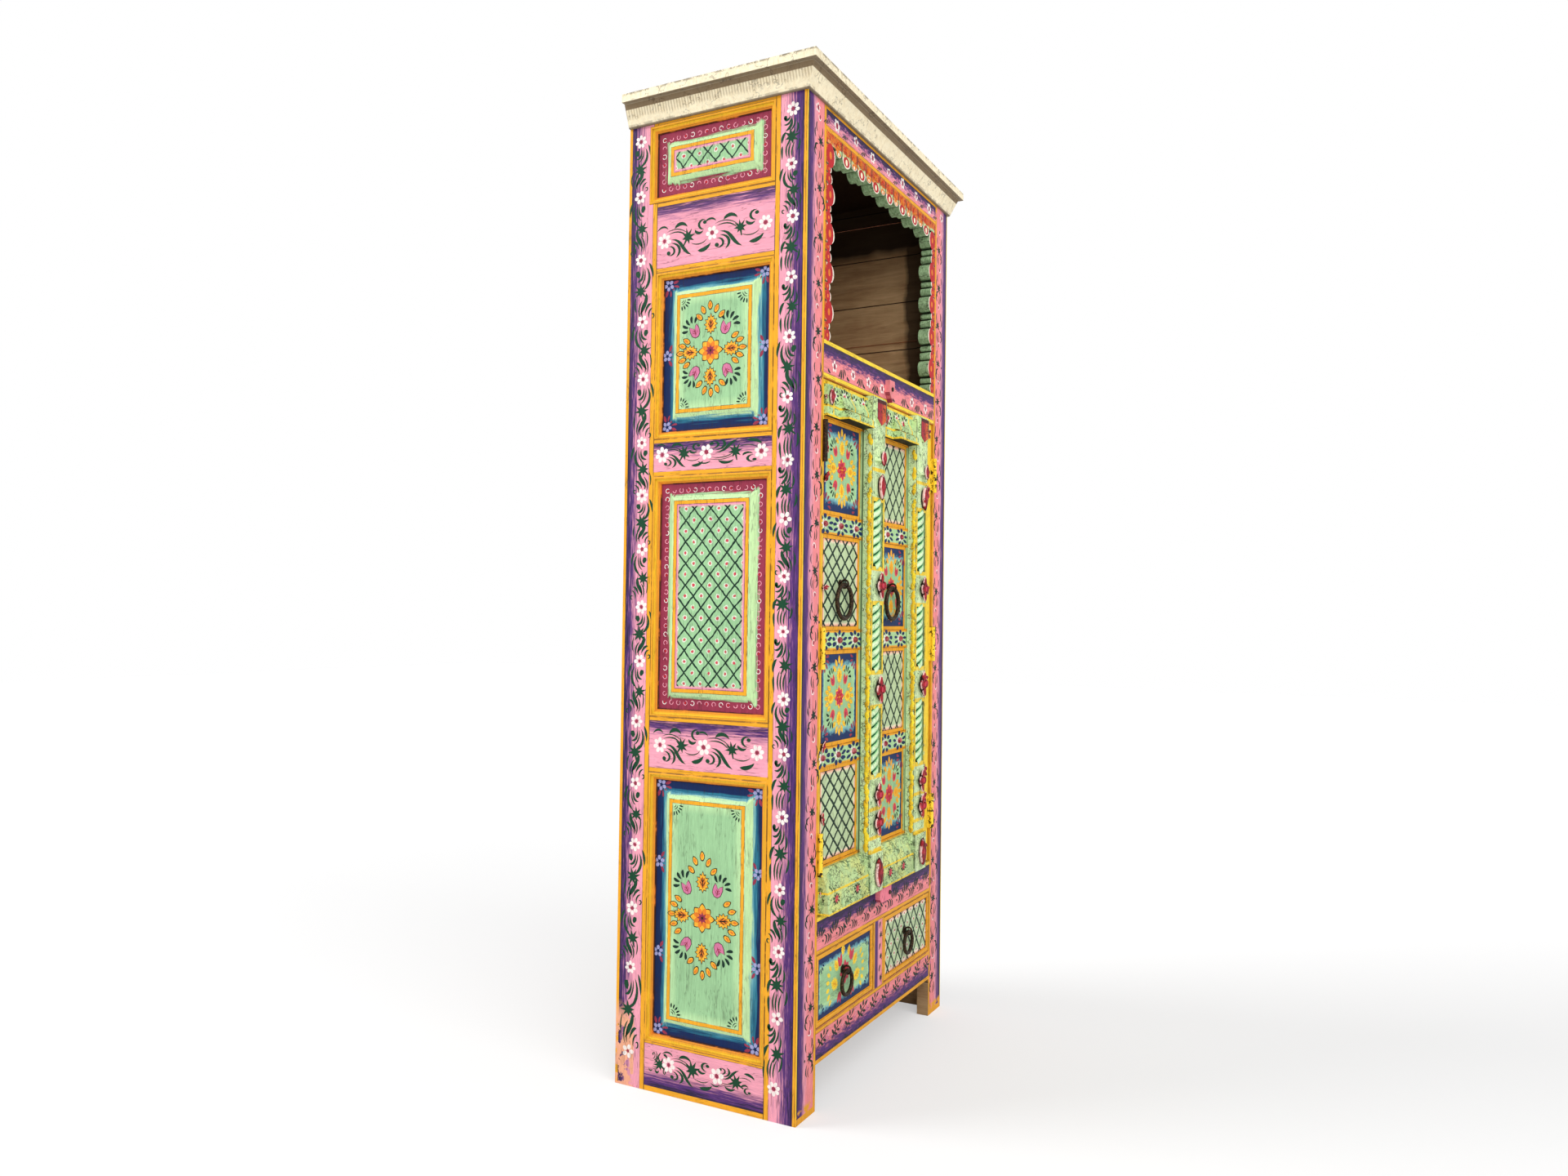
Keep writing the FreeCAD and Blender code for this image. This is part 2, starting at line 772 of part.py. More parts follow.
def rosette(x, y, z):
    """Carved flower with pointed petals that taper to a raised middle."""
    wires = []
    for radiusShare, riseShare in ROSETTE_STEP_SHARES:
        corners = []
        for number in range(ROSETTE_POINTS * 2):
            angle = math.pi * number / ROSETTE_POINTS
            radius = float(s.rosetteRadius) * radiusShare * (1 if number % 2 == 0 else ROSETTE_NOTCH_SHARE)
            corners.append(Vector(x + radius * math.cos(angle), y - float(s.rosetteRise) * riseShare,
                                  z + radius * math.sin(angle)))
        wires.append(Part.makePolygon(corners + corners[:1]))
    return Part.makeLoft(wires, True, True)


def makeRingPull(prefix, x, faceY, z, ringRadius, wire):
    """Iron ring that hangs in an eye on a round plate. z is the middle of the ring's top wire."""
    axisY = faceY - s.ringStandoff
    eyeRadius = s.eyeBore + s.eyeWire
    eyeZ = z + s.eyeBore - wire - s.ringClearance
    loop = ring(prefix + "EyeLoop", eyeRadius, s.eyeWire, (x, axisY, eyeZ), Vector(1, 0, 0))
    plate = rod(prefix + "Rose", s.roseRadius, s.roseThickness, (x, faceY - s.roseThickness, eyeZ),
                Vector(0, 1, 0))
    subpart(prefix + "_eye", fuse(prefix + "Eye", [loop, plate]))
    hoop = ring(prefix + "Hoop", ringRadius, wire, (x, axisY, z - ringRadius), Vector(0, 1, 0))
    subpart(prefix + "_ring", hoop)


def makeLeaf(leaf, span, stiles, pilasterLeft, ringShift):
    """One door leaf: frame, four panels, carved header, plinth and pilaster, and its ring pull."""
    depth = (leafFront, leafBack)
    column = (span[0] + stiles[0], span[1] - stiles[1])
    frame = [
        board(leaf + "LeafStileA", (span[0], column[0]), depth, (leafBottom, leafTop)),
        board(leaf + "LeafStileB", (column[1], span[1]), depth, (leafBottom, leafTop)),
        board(leaf + "LeafTopRail", column, depth, (leafTop - s.doorTopRail, leafTop)),
        board(leaf + "LeafBottomRail", column, depth, (leafBottom, leafBottom + s.doorBottomRail)),
    ]
    low = leafBottom + s.doorBottomRail
    panelRoom = leafHeight - s.doorTopRail - s.doorBottomRail - s.doorCrossRail * (DOOR_PANELS - 1)
    panelHeight = panelRoom / DOOR_PANELS
    panelFront = leafFront + s.doorPanelRecess
    panels = []
    for number in range(DOOR_PANELS):
        panels.append(board("%sLeafPanel%d" % (leaf, number + 1), column,
                            (panelFront, panelFront + s.doorPanelThickness), (low, low + panelHeight)))
        low = low + panelHeight
        if number < DOOR_PANELS - 1:
            rail = (low, low + s.doorCrossRail)
            frame.append(board("%sLeafRail%d" % (leaf, number + 1), column, depth, rail))
            low = low + s.doorCrossRail
    subpart(leaf + "_door_frame", group(leaf + "LeafFrame", frame))
    subpart(leaf + "_door_panels", group(leaf + "LeafPanels", panels))

    makeHeader(leaf, (column[0], pilasterLeft), column[1])
    makePlinth(leaf, (column[0], pilasterLeft))
    makePilaster(leaf, pilasterLeft)
    middle = (column[0] + column[1]) / 2
    ringZ = leafBottom + s.doorRingDrop
    makeRingPull(leaf + "_door", middle - ringShift, panelFront, ringZ, s.doorRingRadius, s.doorRingWire)


def makeHeader(leaf, span, hoodRight):
    """Carved plate over the panels, with a two-stepped hood over all but its wing."""
    bottom = leafTop - s.headerDrop - s.headerHeight
    plate = board(leaf + "HeaderPlate", span, (leafFront - s.headerRise, leafFront),
                  (bottom, bottom + s.headerHeight))
    flat = -float(s.headerRise)
    lip = -float(s.hoodRise)
    step = -float(s.hoodStepRise)
    lipTop = float(s.hoodLipHeight)
    bevel = float(s.hoodGroove)
    stepFoot = lipTop + bevel
    stepTop = stepFoot + float(s.hoodStepHeight)
    profile = [
        (0, 0), (lip, 0), (lip, lipTop - bevel), (lip + bevel, lipTop), (flat - bevel, lipTop),
        (flat - bevel, stepFoot), (step, stepFoot), (step, stepFoot + bevel * 2), (flat, stepTop),
        (0, stepTop),
    ]
    hoodLeft = span[0] + s.hoodWing
    hood = padded(leaf + "Hood", "YZ_Plane", polygon(profile), hoodRight - hoodLeft,
                  (hoodLeft, leafFront, bottom))
    subpart(leaf + "_door_header", fuse(leaf + "Header", [plate, hood]))


def makePlinth(leaf, span):
    """Carved foot block under the panels, with a long slope on top and a bead at its foot."""
    rise = -float(s.plinthRise)
    footRise = rise - float(s.plinthFootRise)
    foot = float(s.plinthFoot)
    tall = float(s.plinthHeight)
    shoulder = tall - float(s.plinthSlope)
    profile = [
        (0, 0), (footRise, 0), (footRise, foot - float(s.plinthFootRise)), (rise, foot), (rise, shoulder),
        (-float(s.plinthTopRise), tall), (0, tall),
    ]
    body = padded(leaf + "Plinth", "YZ_Plane", polygon(profile), span[1] - span[0],
                  (span[0], leafFront, leafBottom))
    subpart(leaf + "_door_plinth", body)


def hingeSolid(name, side, level, owner):
    """One flap of a butt hinge with its knuckles. owner is 0 for the case, 1 for the leaf."""
    inward = 1 if side == "left" else -1
    jambX = openingLeft if side == "left" else openingRight
    pinX = jambX + s.hingeGap / 2 * inward
    pinY = leafFront - s.doorRecess - s.hingeStandoff
    plateX = jambX if owner == 0 else jambX + (s.hingeGap - s.hingePlate) * inward
    farX = plateX + s.hingePlate * inward
    edges = (plateX, farX) if inward > 0 else (farX, plateX)
    plateFront = pinY + s.knuckleRadius + s.knuckleClearance
    plate = board(name + "Plate", edges, (plateFront, leafFront + s.hingeDepth),
                  (level, level + s.hingeHeight))
    pieces = [plate]
    pitch = s.hingeHeight / KNUCKLES
    for number in range(KNUCKLES):
        if number % 2 != owner:
            continue
        low = level + pitch * number + s.knuckleClearance / 2
        tall = pitch - s.knuckleClearance
        knuckle = rod("%sKnuckle%d" % (name, number), s.knuckleRadius, tall, (pinX, pinY, low),
                      Vector(0, 0, 1))
        tab = board("%sTab%d" % (name, number), edges, (pinY, plateFront), (low, low + tall))
        pieces += [knuckle, tab]
    bore = rod(name + "Bore", s.pinRadius + s.pinClearance, s.hingeHeight + s.overrun * 2,
               (pinX, pinY, level - s.overrun), Vector(0, 0, 1))
    return cut(name, fuse(name + "Solid", pieces), bore)


def makeHinges():
    """Three butt hinges to a leaf: flaps on the case, flaps on the leaf, and their pins."""
    caseFlaps = []
    pins = []
    for side in ("left", "right"):
        inward = 1 if side == "left" else -1
        jambX = openingLeft if side == "left" else openingRight
        pinX = jambX + s.hingeGap / 2 * inward
        pinY = leafFront - s.doorRecess - s.hingeStandoff
        leafFlaps = []
        for number, share in enumerate(HINGE_LEVEL_SHARES, start=1):
            level = leafBottom + leafHeight * share - s.hingeHeight / 2
            name = "%sHinge%d" % (side, number)
            caseFlaps.append(hingeSolid(name + "Case", side, level, 0))
            leafFlaps.append(hingeSolid(name + "Leaf", side, level, 1))
            pins.append(rod(name + "Pin", s.pinRadius, s.hingeHeight, (pinX, pinY, level), Vector(0, 0, 1)))
        subpart(side + "_door_hinge_flaps", group(side + "LeafFlaps", leafFlaps))
    subpart("hinge_case_flaps", group("hingeCaseFlaps", caseFlaps))
    subpart("hinge_pins", group("hingePins", pins))


def makeTurnButtons():
    """Wooden turn-buttons on the rails above and below the doors, each on one screw."""
    width = float(s.buttonHalfWidth)
    tip = float(s.topButtonTip)
    top = float(s.topButtonTop)
    outline = polygon([
        (0, -tip), (width * BUTTON_TIP_SHARE, width - tip), (width, -top * BUTTON_WAIST_SHARE),
        (width * BUTTON_TOP_SHARE, top), (-width * BUTTON_TOP_SHARE, top),
        (-width, -top * BUTTON_WAIST_SHARE), (-width * BUTTON_TIP_SHARE, width - tip),
    ])
    back = caseFront - s.buttonClearance
    screws = []
    upper = padded("topButton", "XZ_Plane", outline, s.buttonThickness,
                   (s.topButtonShift, back, topButtonPivot))

    half = float(s.lowButtonHeight) / 2
    reach = float(s.lowButtonReach)
    tail = float(s.lowButtonTail)
    corners = [Vector(half - reach, -half, 0), Vector(tail, -half, 0), Vector(tail, half, 0),
               Vector(half - reach, half, 0)]
    outline = [
        Part.LineSegment(corners[0], corners[1]), Part.LineSegment(corners[1], corners[2]),
        Part.LineSegment(corners[2], corners[3]), Part.Arc(corners[3], Vector(-reach, 0, 0), corners[0]),
    ]
    lower = padded("lowButton", "XZ_Plane", outline, s.buttonThickness,
                   (s.lowButtonShift, back, lowButtonPivot))

    places = (("top_turn_button", upper, s.topButtonShift, topButtonPivot),
              ("low_turn_button", lower, s.lowButtonShift, lowButtonPivot))
    for name, body, x, z in places:
        face = back - s.buttonThickness
        bore = rod(name + "Bore", s.screwShank + s.pinClearance, s.buttonThickness + s.overrun * 2,
                   (x, face - s.overrun, z), Vector(0, 1, 0))
        subpart(name, cut(name, body, bore))
        headY = face - s.buttonClearance - s.screwHeadRise
        head = rod(name + "Head", s.screwHead, s.screwHeadRise, (x, headY, z), Vector(0, 1, 0))
        shank = rod(name + "Shank", s.screwShank, caseFront + s.screwBite - headY, (x, headY, z),
                    Vector(0, 1, 0))
        screws.append(fuse(name + "Screw", [head, shank]))
    subpart("turn_button_screws", group("turnButtonScrews", screws))


def makeDrawer(side, span):
    """Drawer with a beaded front, two sides, a back and a bottom, and its ring pull."""
    low = apronTop + s.drawerGap
    high = drawerTop - s.drawerGap
    x = (span[0] + s.drawerGap, span[1] - s.drawerGap)
    front = caseFront + s.drawerRecess
    frontBack = front + s.drawerFrontThickness
    rear = backFace - s.drawerBackGap
    face = board(side + "DrawerFace", x, (front, frontBack), (low, high))
    bead = board(side + "DrawerBead", x, (front - s.drawerBeadRise, front), (low, high))
    field = board(side + "DrawerField", (x[0] + s.drawerBead, x[1] - s.drawerBead),
                  (front - s.overrun, front), (low + s.drawerBead, high - s.drawerBead))
    rim = cut(side + "DrawerRim", bead, field)
    subpart(side + "_drawer_front", fuse(side + "DrawerFront", [face, rim]))

    sideTop = low + s.drawerSideHeight
    inner = (x[0] + s.drawerSideThickness, x[1] - s.drawerSideThickness)
    box = [
        board(side + "DrawerSideA", (x[0], inner[0]), (frontBack, rear), (low, sideTop)),
        board(side + "DrawerSideB", (inner[1], x[1]), (frontBack, rear), (low, sideTop)),
        board(side + "DrawerBack", inner, (rear - s.drawerSideThickness, rear), (low, sideTop)),
    ]
    subpart(side + "_drawer_box", group(side + "DrawerBox", box))
    bottomZ = low + s.drawerBottomLift
    bottom = board(side + "DrawerBottom", inner, (frontBack, rear - s.drawerSideThickness),
                   (bottomZ, bottomZ + s.drawerBottomThickness))
    subpart(side + "_drawer_bottom", bottom)
    middle = (x[0] + x[1]) / 2
    makeRingPull(side + "_drawer", middle - s.drawerRingShift, front, low + s.drawerRingDrop,
                 s.drawerRingRadius, s.drawerRingWire)


def makeDoors():
    leftSpan = (openingLeft + s.hingeGap, meetingLine - s.meetingGap / 2)
    rightSpan = (meetingLine + s.meetingGap / 2, openingRight - s.hingeGap)
    makeLeaf("left", leftSpan, (s.edgeStile, s.leftPilasterStile), leftSpan[1] - s.pilasterWidth,
             s.leftRingShift)
    makeLeaf("right", rightSpan, (s.edgeStile, s.rightPilasterStile),
             rightSpan[1] - s.rightPilasterInset - s.pilasterWidth, s.rightRingShift)


makeFrontFrame()
makeSide("left", -1)
makeSide("right", 1)
makeCornice()
makeInside()
makeArch()
makeDoors()
makeHinges()
makeTurnButtons()
makeDrawer("left", (openingLeft, muntinLeft))
makeDrawer("right", (muntinRight, openingRight))

doc.recompute()

for item in doc.Objects:
    if "Invalid" in item.State or "Error" in item.State:
        raise RuntimeError("%s failed to rebuild" % item.Label)
for item in subparts:
    if item.Shape.isNull() or not item.Shape.isValid():
        raise RuntimeError("%s has no valid shape" % item.Label)

os.makedirs("parts", exist_ok=True)
for item in subparts:
    item.Shape.exportStep("parts/%s.step" % item.Label)
print("%d sub-parts written" % len(subparts))
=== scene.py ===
import math
import random
from functools import partial, reduce

import bmesh
import bpy
from mathutils import Matrix, Vector


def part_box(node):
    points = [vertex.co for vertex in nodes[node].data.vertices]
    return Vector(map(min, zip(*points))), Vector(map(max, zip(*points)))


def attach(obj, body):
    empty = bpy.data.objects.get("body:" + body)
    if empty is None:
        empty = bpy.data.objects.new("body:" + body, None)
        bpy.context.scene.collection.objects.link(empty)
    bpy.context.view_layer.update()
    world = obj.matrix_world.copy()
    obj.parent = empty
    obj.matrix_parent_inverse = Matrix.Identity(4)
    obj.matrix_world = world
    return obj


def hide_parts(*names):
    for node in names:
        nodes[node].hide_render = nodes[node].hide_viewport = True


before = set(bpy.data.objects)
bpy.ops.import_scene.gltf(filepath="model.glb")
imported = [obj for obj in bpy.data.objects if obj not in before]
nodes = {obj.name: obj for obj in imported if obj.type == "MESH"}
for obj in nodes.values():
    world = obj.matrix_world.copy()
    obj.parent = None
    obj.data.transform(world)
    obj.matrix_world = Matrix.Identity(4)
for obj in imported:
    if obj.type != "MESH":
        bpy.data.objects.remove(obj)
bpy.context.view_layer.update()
mm = 0.001

# Places read once from the frame, in metres
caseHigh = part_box("right_side_back_stile")[1]
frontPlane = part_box("front_left_stile")[0].y
sidePlane = caseHigh.x


# Colours as painted, given as screen values
def paint(red, green, blue):
    def linear(value):
        value /= 255
        return value / 12.92 if value <= 0.04045 else ((value + 0.055) / 1.055) ** 2.4
    return (linear(red), linear(green), linear(blue), 1)


colours = {
    "pink": paint(238, 160, 178),
    "rose": paint(240, 140, 144),
    "purple": paint(84, 48, 112),
    "night": paint(44, 34, 66),
    "ochre": paint(236, 166, 40),
    "yellow": paint(250, 214, 62),
    "mint": paint(154, 198, 148),
    "paleMint": paint(196, 232, 172),
    "leafGreen": paint(18, 66, 42),
    "inkGreen": paint(16, 44, 34),
    "navy": paint(10, 36, 84),
    "turquoise": paint(42, 120, 146),
    "maroon": paint(150, 52, 76),
    "red": paint(186, 34, 40),
    "crimson": paint(208, 62, 84),
    "white": paint(242, 232, 226),
    "lavender": paint(160, 160, 206),
    "tulip": paint(206, 116, 152),
    "orange": paint(226, 124, 40),
    "blossom": paint(240, 176, 52),
    "ink": paint(44, 30, 24),
    "cream": paint(250, 238, 206),
    "wood": paint(150, 110, 68),
    "darkWood": paint(66, 44, 26),
    "iron": paint(44, 36, 28),
    "salmon": paint(238, 170, 136),
    "doorMint": paint(196, 228, 162),
    "panelGreen": paint(190, 210, 164),
    "royal": paint(14, 44, 92),
    "sky": paint(112, 172, 182),
    "yellowGreen": paint(206, 214, 112),
}


# A node socket that can be added to, multiplied and compared, so that a formula reads as one
class Wire:
    def __init__(self, tree, socket):
        self.tree, self.socket = tree, socket

    def op(self, kind, *others, clamp=False):
        inputs = dict(enumerate((self,) + others))
        return add(self.tree, "ShaderNodeMath", inputs, operation=kind, use_clamp=clamp)

    def __add__(self, other):
        return self.op("ADD", other)

    def __sub__(self, other):
        return self.op("SUBTRACT", other)

    def __mul__(self, other):
        return self.op("MULTIPLY", other)

    def __truediv__(self, other):
        return self.op("DIVIDE", other)

    def size(self):
        return self.op("ABSOLUTE")

    def low(self, other):
        return self.op("MINIMUM", other)

    def high(self, other):
        return self.op("MAXIMUM", other)

    def flipped(self):
        # 1 where this is 0
        return self * -1 + 1

    def above(self, edge, soft):
        # 0 below edge, 1 above it, over a soft band
        return ((self - edge) / soft + 0.5).op("ADD", 0, clamp=True)

    def below(self, edge, soft):
        return ((self * -1 + edge) / soft + 0.5).op("ADD", 0, clamp=True)

    def near(self, place, reach, soft):
        # 1 up to reach away from place
        return (self - place).size().below(reach, soft)

    def between(self, low, high, soft):
        return self.near((low + high) / 2, (high - low) / 2, soft)


def feed(tree, slot, value):
    # Links a wire to a socket, or sets its value; a colour may be given by its name
    if isinstance(value, Wire):
        tree.links.new(value.socket, slot)
    else:
        slot.default_value = colours[value] if isinstance(value, str) and slot.type == "RGBA" else value


def add(tree, kind, inputs, output=0, **settings):
    # Makes one node and gives one of its outputs
    made = tree.nodes.new(kind)
    for name, value in settings.items():
        setattr(made, name, value)
    for name, value in inputs.items():
        feed(tree, made.inputs[name], value)
    return Wire(tree, made.outputs[output])


def strongest(wires):
    return reduce(Wire.high, wires)


def mixed(factor, first, second):
    tree = next(value for value in (factor, first, second) if isinstance(value, Wire)).tree
    made = tree.nodes.new("ShaderNodeMix")
    made.data_type = "RGBA"
    for name, value in (("Factor_Float", factor), ("A_Color", first), ("B_Color", second)):
        feed(tree, next(slot for slot in made.inputs if slot.identifier == name), value)
    return Wire(tree, next(slot for slot in made.outputs if slot.identifier == "Result_Color"))


def layered(tone, *layers):
    # Each layer is where it lies and its colour
    for mask, colour in layers:
        tone = mixed(mask, tone, colour)
    return tone


def ramp(factor, stops):
    made = factor.tree.nodes.new("ShaderNodeValToRGB")
    band = made.color_ramp
    while len(band.elements) < len(stops):
        band.elements.new(1)
    for element, (place, colour) in zip(band.elements, stops):
        element.position = place
        element.color = colours[colour] if isinstance(colour, str) else colour
    feed(factor.tree, made.inputs[0], factor)
    return Wire(factor.tree, made.outputs[0])


def noise(vector, scale, detail=3, rough=0.55, twist=0):
    return add(vector.tree, "ShaderNodeTexNoise", {
        "Vector": vector, "Scale": scale, "Detail": detail, "Roughness": rough, "Distortion": twist})


def stretched(vector, scale):
    return add(vector.tree, "ShaderNodeMapping", {"Vector": vector, "Scale": scale})


def flowing(vector, factors):
    return add(vector.tree, "ShaderNodeVectorMath", {0: vector, 1: factors}, operation="MULTIPLY")


def split(vector):
    made = vector.tree.nodes.new("ShaderNodeSeparateXYZ")
    feed(vector.tree, made.inputs[0], vector)
    return [Wire(vector.tree, socket) for socket in made.outputs]


def objectPlace(tree):
    return add(tree, "ShaderNodeTexCoord", {}, "Object")


def objectAxes(tree):
    # Places to the right, to the back and up
    return split(objectPlace(tree))


def objectNormal(tree):
    return split(add(tree, "ShaderNodeTexCoord", {}, "Normal"))


# A shader group with named sockets; build makes its nodes and gives the outputs
def makeGroup(name, inputs, outputs, build):
    group = bpy.data.node_groups.new(name, "ShaderNodeTree")
    for label, kind, value in inputs:
        socket = group.interface.new_socket(label, in_out="INPUT", socket_type="NodeSocket" + kind)
        socket.default_value = value
    for label, kind in outputs:
        group.interface.new_socket(label, in_out="OUTPUT", socket_type="NodeSocket" + kind)
    source = group.nodes.new("NodeGroupInput")
    target = group.nodes.new("NodeGroupOutput")
    made = build(group, **{label.lower(): Wire(group, source.outputs[label]) for label, _, _ in inputs})
    for (label, _), value in zip(outputs, made):
        feed(group, target.inputs[label], value)
    return group


def useGroup(tree, group, **values):
    made = tree.nodes.new("ShaderNodeGroup")
    made.node_tree = group
    for name, value in values.items():
        feed(tree, made.inputs[name], value)
    return {socket.name: Wire(tree, socket) for socket in made.outputs}


def brushedNodes(group, color, under, flow, streak, wear, age):
    # Brush marks, hairline cracks, worn spots and grime, and darker towards the floor; flow is how fast the
    # marks change along each axis
    place = objectPlace(group)
    flown = flowing(place, flow)
    marks = noise(flown, 4, 4, 0.7)
    bristles = noise(flown, 13, 2, 0.6)
    blotches = noise(place, 11, 3, 0.6)
    light = (marks - 0.5) * streak * 2.2 + (bristles - 0.5) * streak * 1.6 + 1.02
    light = light - blotches.above(0.55, 0.3) * age * 0.35
    # Darker towards the floor
    light = light * (split(place)[2].above(0.4, 1.4) * 0.2 + 0.8)
    lit = add(group, "ShaderNodeVectorMath", {0: color, "Scale": light}, operation="SCALE")
    cracks = noise(flown, 1.6, 3, 0.6).near(0.5, 0.012, 0.01) * noise(place, 20, 2).above(0.49, 0.08)
    flecks = noise(flown, 9, 5, 0.75)
    chips = noise(place, 170, 4, 0.7)
    worn = (flecks * 0.6 + chips * 0.4 + wear * 0.16).above(0.70, 0.03)
    specks = noise(place, 420, 1, 0.5).above(0.73, 0.03) * age
    tone = layered(lit, (worn, under), ((cracks * age * 1.6).high(specks).low(0.85), "ink"))
    rough = (bristles * 0.25 + worn * 0.2 + 0.42).low(0.95)
    return tone, rough, bristles * 0.6 + marks * 0.4 - worn * 0.9 - cracks * 0.8


def latticeNodes(group, across, up, wide, tall, line, waver, dot):
    # Hand-drawn diamond lattice on a flat place, with a ringed dot in each diamond
    place = objectPlace(group)
    drift = (noise(place, 26, 2) - 0.5) * waver
    ripple = (noise(place, 90, 1) - 0.5) * waver * 0.7
    first = across / wide + up / tall + drift + ripple
    second = across / wide - up / tall - drift + ripple
    away = [(value.op("FRACT") - 0.5).size() * -1 + 0.5 for value in (first, second)]
    reach = wide * tall / (wide * wide + tall * tall).op("SQRT")
    lines = (away[0].low(away[1]) * reach).below(line * (noise(place, 140, 2) * 0.7 + 0.2), 0.9 * mm)
    cellU, cellV = first.op("FRACT") - 0.5, second.op("FRACT") - 0.5
    sideways, upward = (cellU + cellV) * wide * 0.5, (cellU - cellV) * tall * 0.5
    radius = (sideways * sideways + upward * upward).op("SQRT") / dot + (noise(place, 210, 1) - 0.5) * 0.5
    rings = radius.below(1, 0.14) * radius.above(0.62, 0.14) * noise(place, 95, 1).above(0.4, 0.1)
    return lines, rings, radius.below(0.5, 0.12)


def oldWoodNodes(group, light, dark, flow):
    # Bare old boards: long grain, dark stains
    place = objectPlace(group)
    flown = flowing(place, flow)
    grain = noise(flown, 1.2, 6, 0.65, 0.6)
    fine = noise(flown, 5, 4, 0.7)
    stain = noise(place, 7, 3, 0.6)
    shade = (grain * 1.5 + fine * 0.6 + stain * 0.7 - 0.95).op("ADD", 0, clamp=True)
    return mixed(shade, light, dark), fine * 0.2 + 0.62, grain * 0.5 + fine * 0.5


surfaceSockets = [("Color", "Color"), ("Roughness", "Float"), ("Height", "Float")]
brushedPaint = makeGroup(
    "brushedPaint",
    [("Color", "Color", (1, 1, 1, 1)), ("Under", "Color", colours["wood"]), ("Flow", "Vector", (60, 60, 6)),
     ("Streak", "Float", 0.22), ("Wear", "Float", 0.2), ("Age", "Float", 0.25)], surfaceSockets, brushedNodes)
lattice = makeGroup(
    "diamondLattice",
    [("Across", "Float", 0), ("Up", "Float", 0), ("Wide", "Float", 0.038), ("Tall", "Float", 0.043),
     ("Line", "Float", 0.003), ("Waver", "Float", 0.16), ("Dot", "Float", 0.0052)],
    [("Lines", "Float"), ("Rings", "Float"), ("Dots", "Float")], latticeNodes)
oldWood = makeGroup(
    "oldWood", [("Light", "Color", colours["wood"]), ("Dark", "Color", colours["darkWood"]),
                ("Flow", "Vector", (9, 60, 60))], surfaceSockets, oldWoodNodes)


def newMaterial(name):
    material = bpy.data.materials.new(name)
    material.use_nodes = True
    tree = material.node_tree
    shader = tree.nodes["Principled BSDF"]
    shader.inputs["Specular IOR Level"].default_value = 0.16
    return material, tree, shader


def finishMaterial(tree, shader, surface, bump=0.35, distance=0.4):
    # Leads colour, roughness and height to the shader; distance is in millimetres
    feed(tree, shader.inputs["Base Color"], surface["Color"])
    feed(tree, shader.inputs["Roughness"], surface["Roughness"])
    feed(tree, shader.inputs["Normal"], add(tree, "ShaderNodeBump", {
        "Strength": bump, "Distance": distance * mm, "Height": surface["Height"]}))


# How fast brush marks and wood grain change along each axis
flows = {"up": (55, 55, 5), "across": (5, 55, 55), "deep": (55, 5, 55)}
grains = {"up": (45, 45, 4), "across": (4, 45, 45), "deep": (45, 4, 45)}


def inward(tree):
    # 1 on faces of a framed side that look into the cupboard
    return (objectNormal(tree)[0] * objectAxes(tree)[0]).below(-0.02, 0.02)


def behind(tree):
    # 1 on the back of the front boards, and on the inner faces of the legs
    return objectNormal(tree)[1].above(0.5, 0.1).high(inward(tree) * objectAxes(tree)[2].below(86 * mm, mm))


def unpainted(tree, surface, bare):
    # Old planks where bare is 1, with joints between them; painted shade makes them nearly black under the top,
    # dark near the front of the niche, and darker below 86 mm on the legs
    place = objectPlace(tree)
    _, deep, up = split(place)
    wood = useGroup(tree, oldWood, Flow=grains["deep"], Light=paint(255, 214, 160), Dark=paint(160, 112, 70))
    joint = ((up / 0.118 + 0.33).op("FRACT") - 0.5).size().above(0.488, 0.008)
    shade = noise(stretched(place, (0.01, 0.01, 1)), 9, 0).above(0.5, 0.4) * 0.35
    ragged = deep + (noise(place, 14, 3) - 0.5) * 40 * mm
    # Painted shade: nearly black under the top
    paintedShade = (up + (noise(place, 9, 2) - 0.5) * 60 * mm).above(1.862, 0.03) * 0.95
    # Painted shadow near the front of the niche walls
    paintedShade = paintedShade.high(ragged.below(-90 * mm, 14 * mm) * 0.85 * up.above(1.45, 0.02))
    # Painted shade low on the inner faces of the legs
    paintedShade = paintedShade.high(up.below(86 * mm, mm) * 0.5)
    tone = layered(wood["Color"], (joint.high(shade), "darkWood"), (paintedShade, paint(24, 15, 9)))
    mixture = {"Color": mixed(bare, surface["Color"], tone)}
    for name in ("Roughness", "Height"):
        mixture[name] = surface[name] * bare.flipped() + wood[name] * bare
    return mixture


def brushedMaterial(name, colour, flow="up", bare=None, bump=0.35, distance=0.4, **settings):
    # One scheme of brushed paint. colour gives a tone, or a tone and its relief; bare tells where there is none
    material, tree, shader = newMaterial(name)
    made = colour(tree) if callable(colour) else colour
    tone, relief = made if isinstance(made, tuple) else (made, None)
    surface = useGroup(tree, brushedPaint, Color=tone, Flow=flows.get(flow, flow), **settings)
    if relief:
        surface["Height"] = surface["Height"] * 0.5 + relief
    if bare:
        surface = unpainted(tree, surface, bare(tree))
    finishMaterial(tree, shader, surface, bump, distance)
    return material


def creased(tone, along, places, wide=0.5, strength=0.8):
    # Thin broken dark lines at places along one axis, in millimetres
    lines = strongest(along.near(place * mm, wide * mm, 0.7 * mm) for place in places)
    broken = noise(objectPlace(tone.tree), 22, 3, 0.7).above(0.42, 0.12)
    return mixed(lines * broken * strength, tone, "ink")


def banded(value, bands):
    # bands is (place, colour) pairs in millimetres; the paint is feathered between two places
    low, high = bands[0][0], bands[-1][0]
    share = (value * 1000 - low) / (high - low)
    return ramp(share, [((place - low) / (high - low), colour) for place, colour in bands])


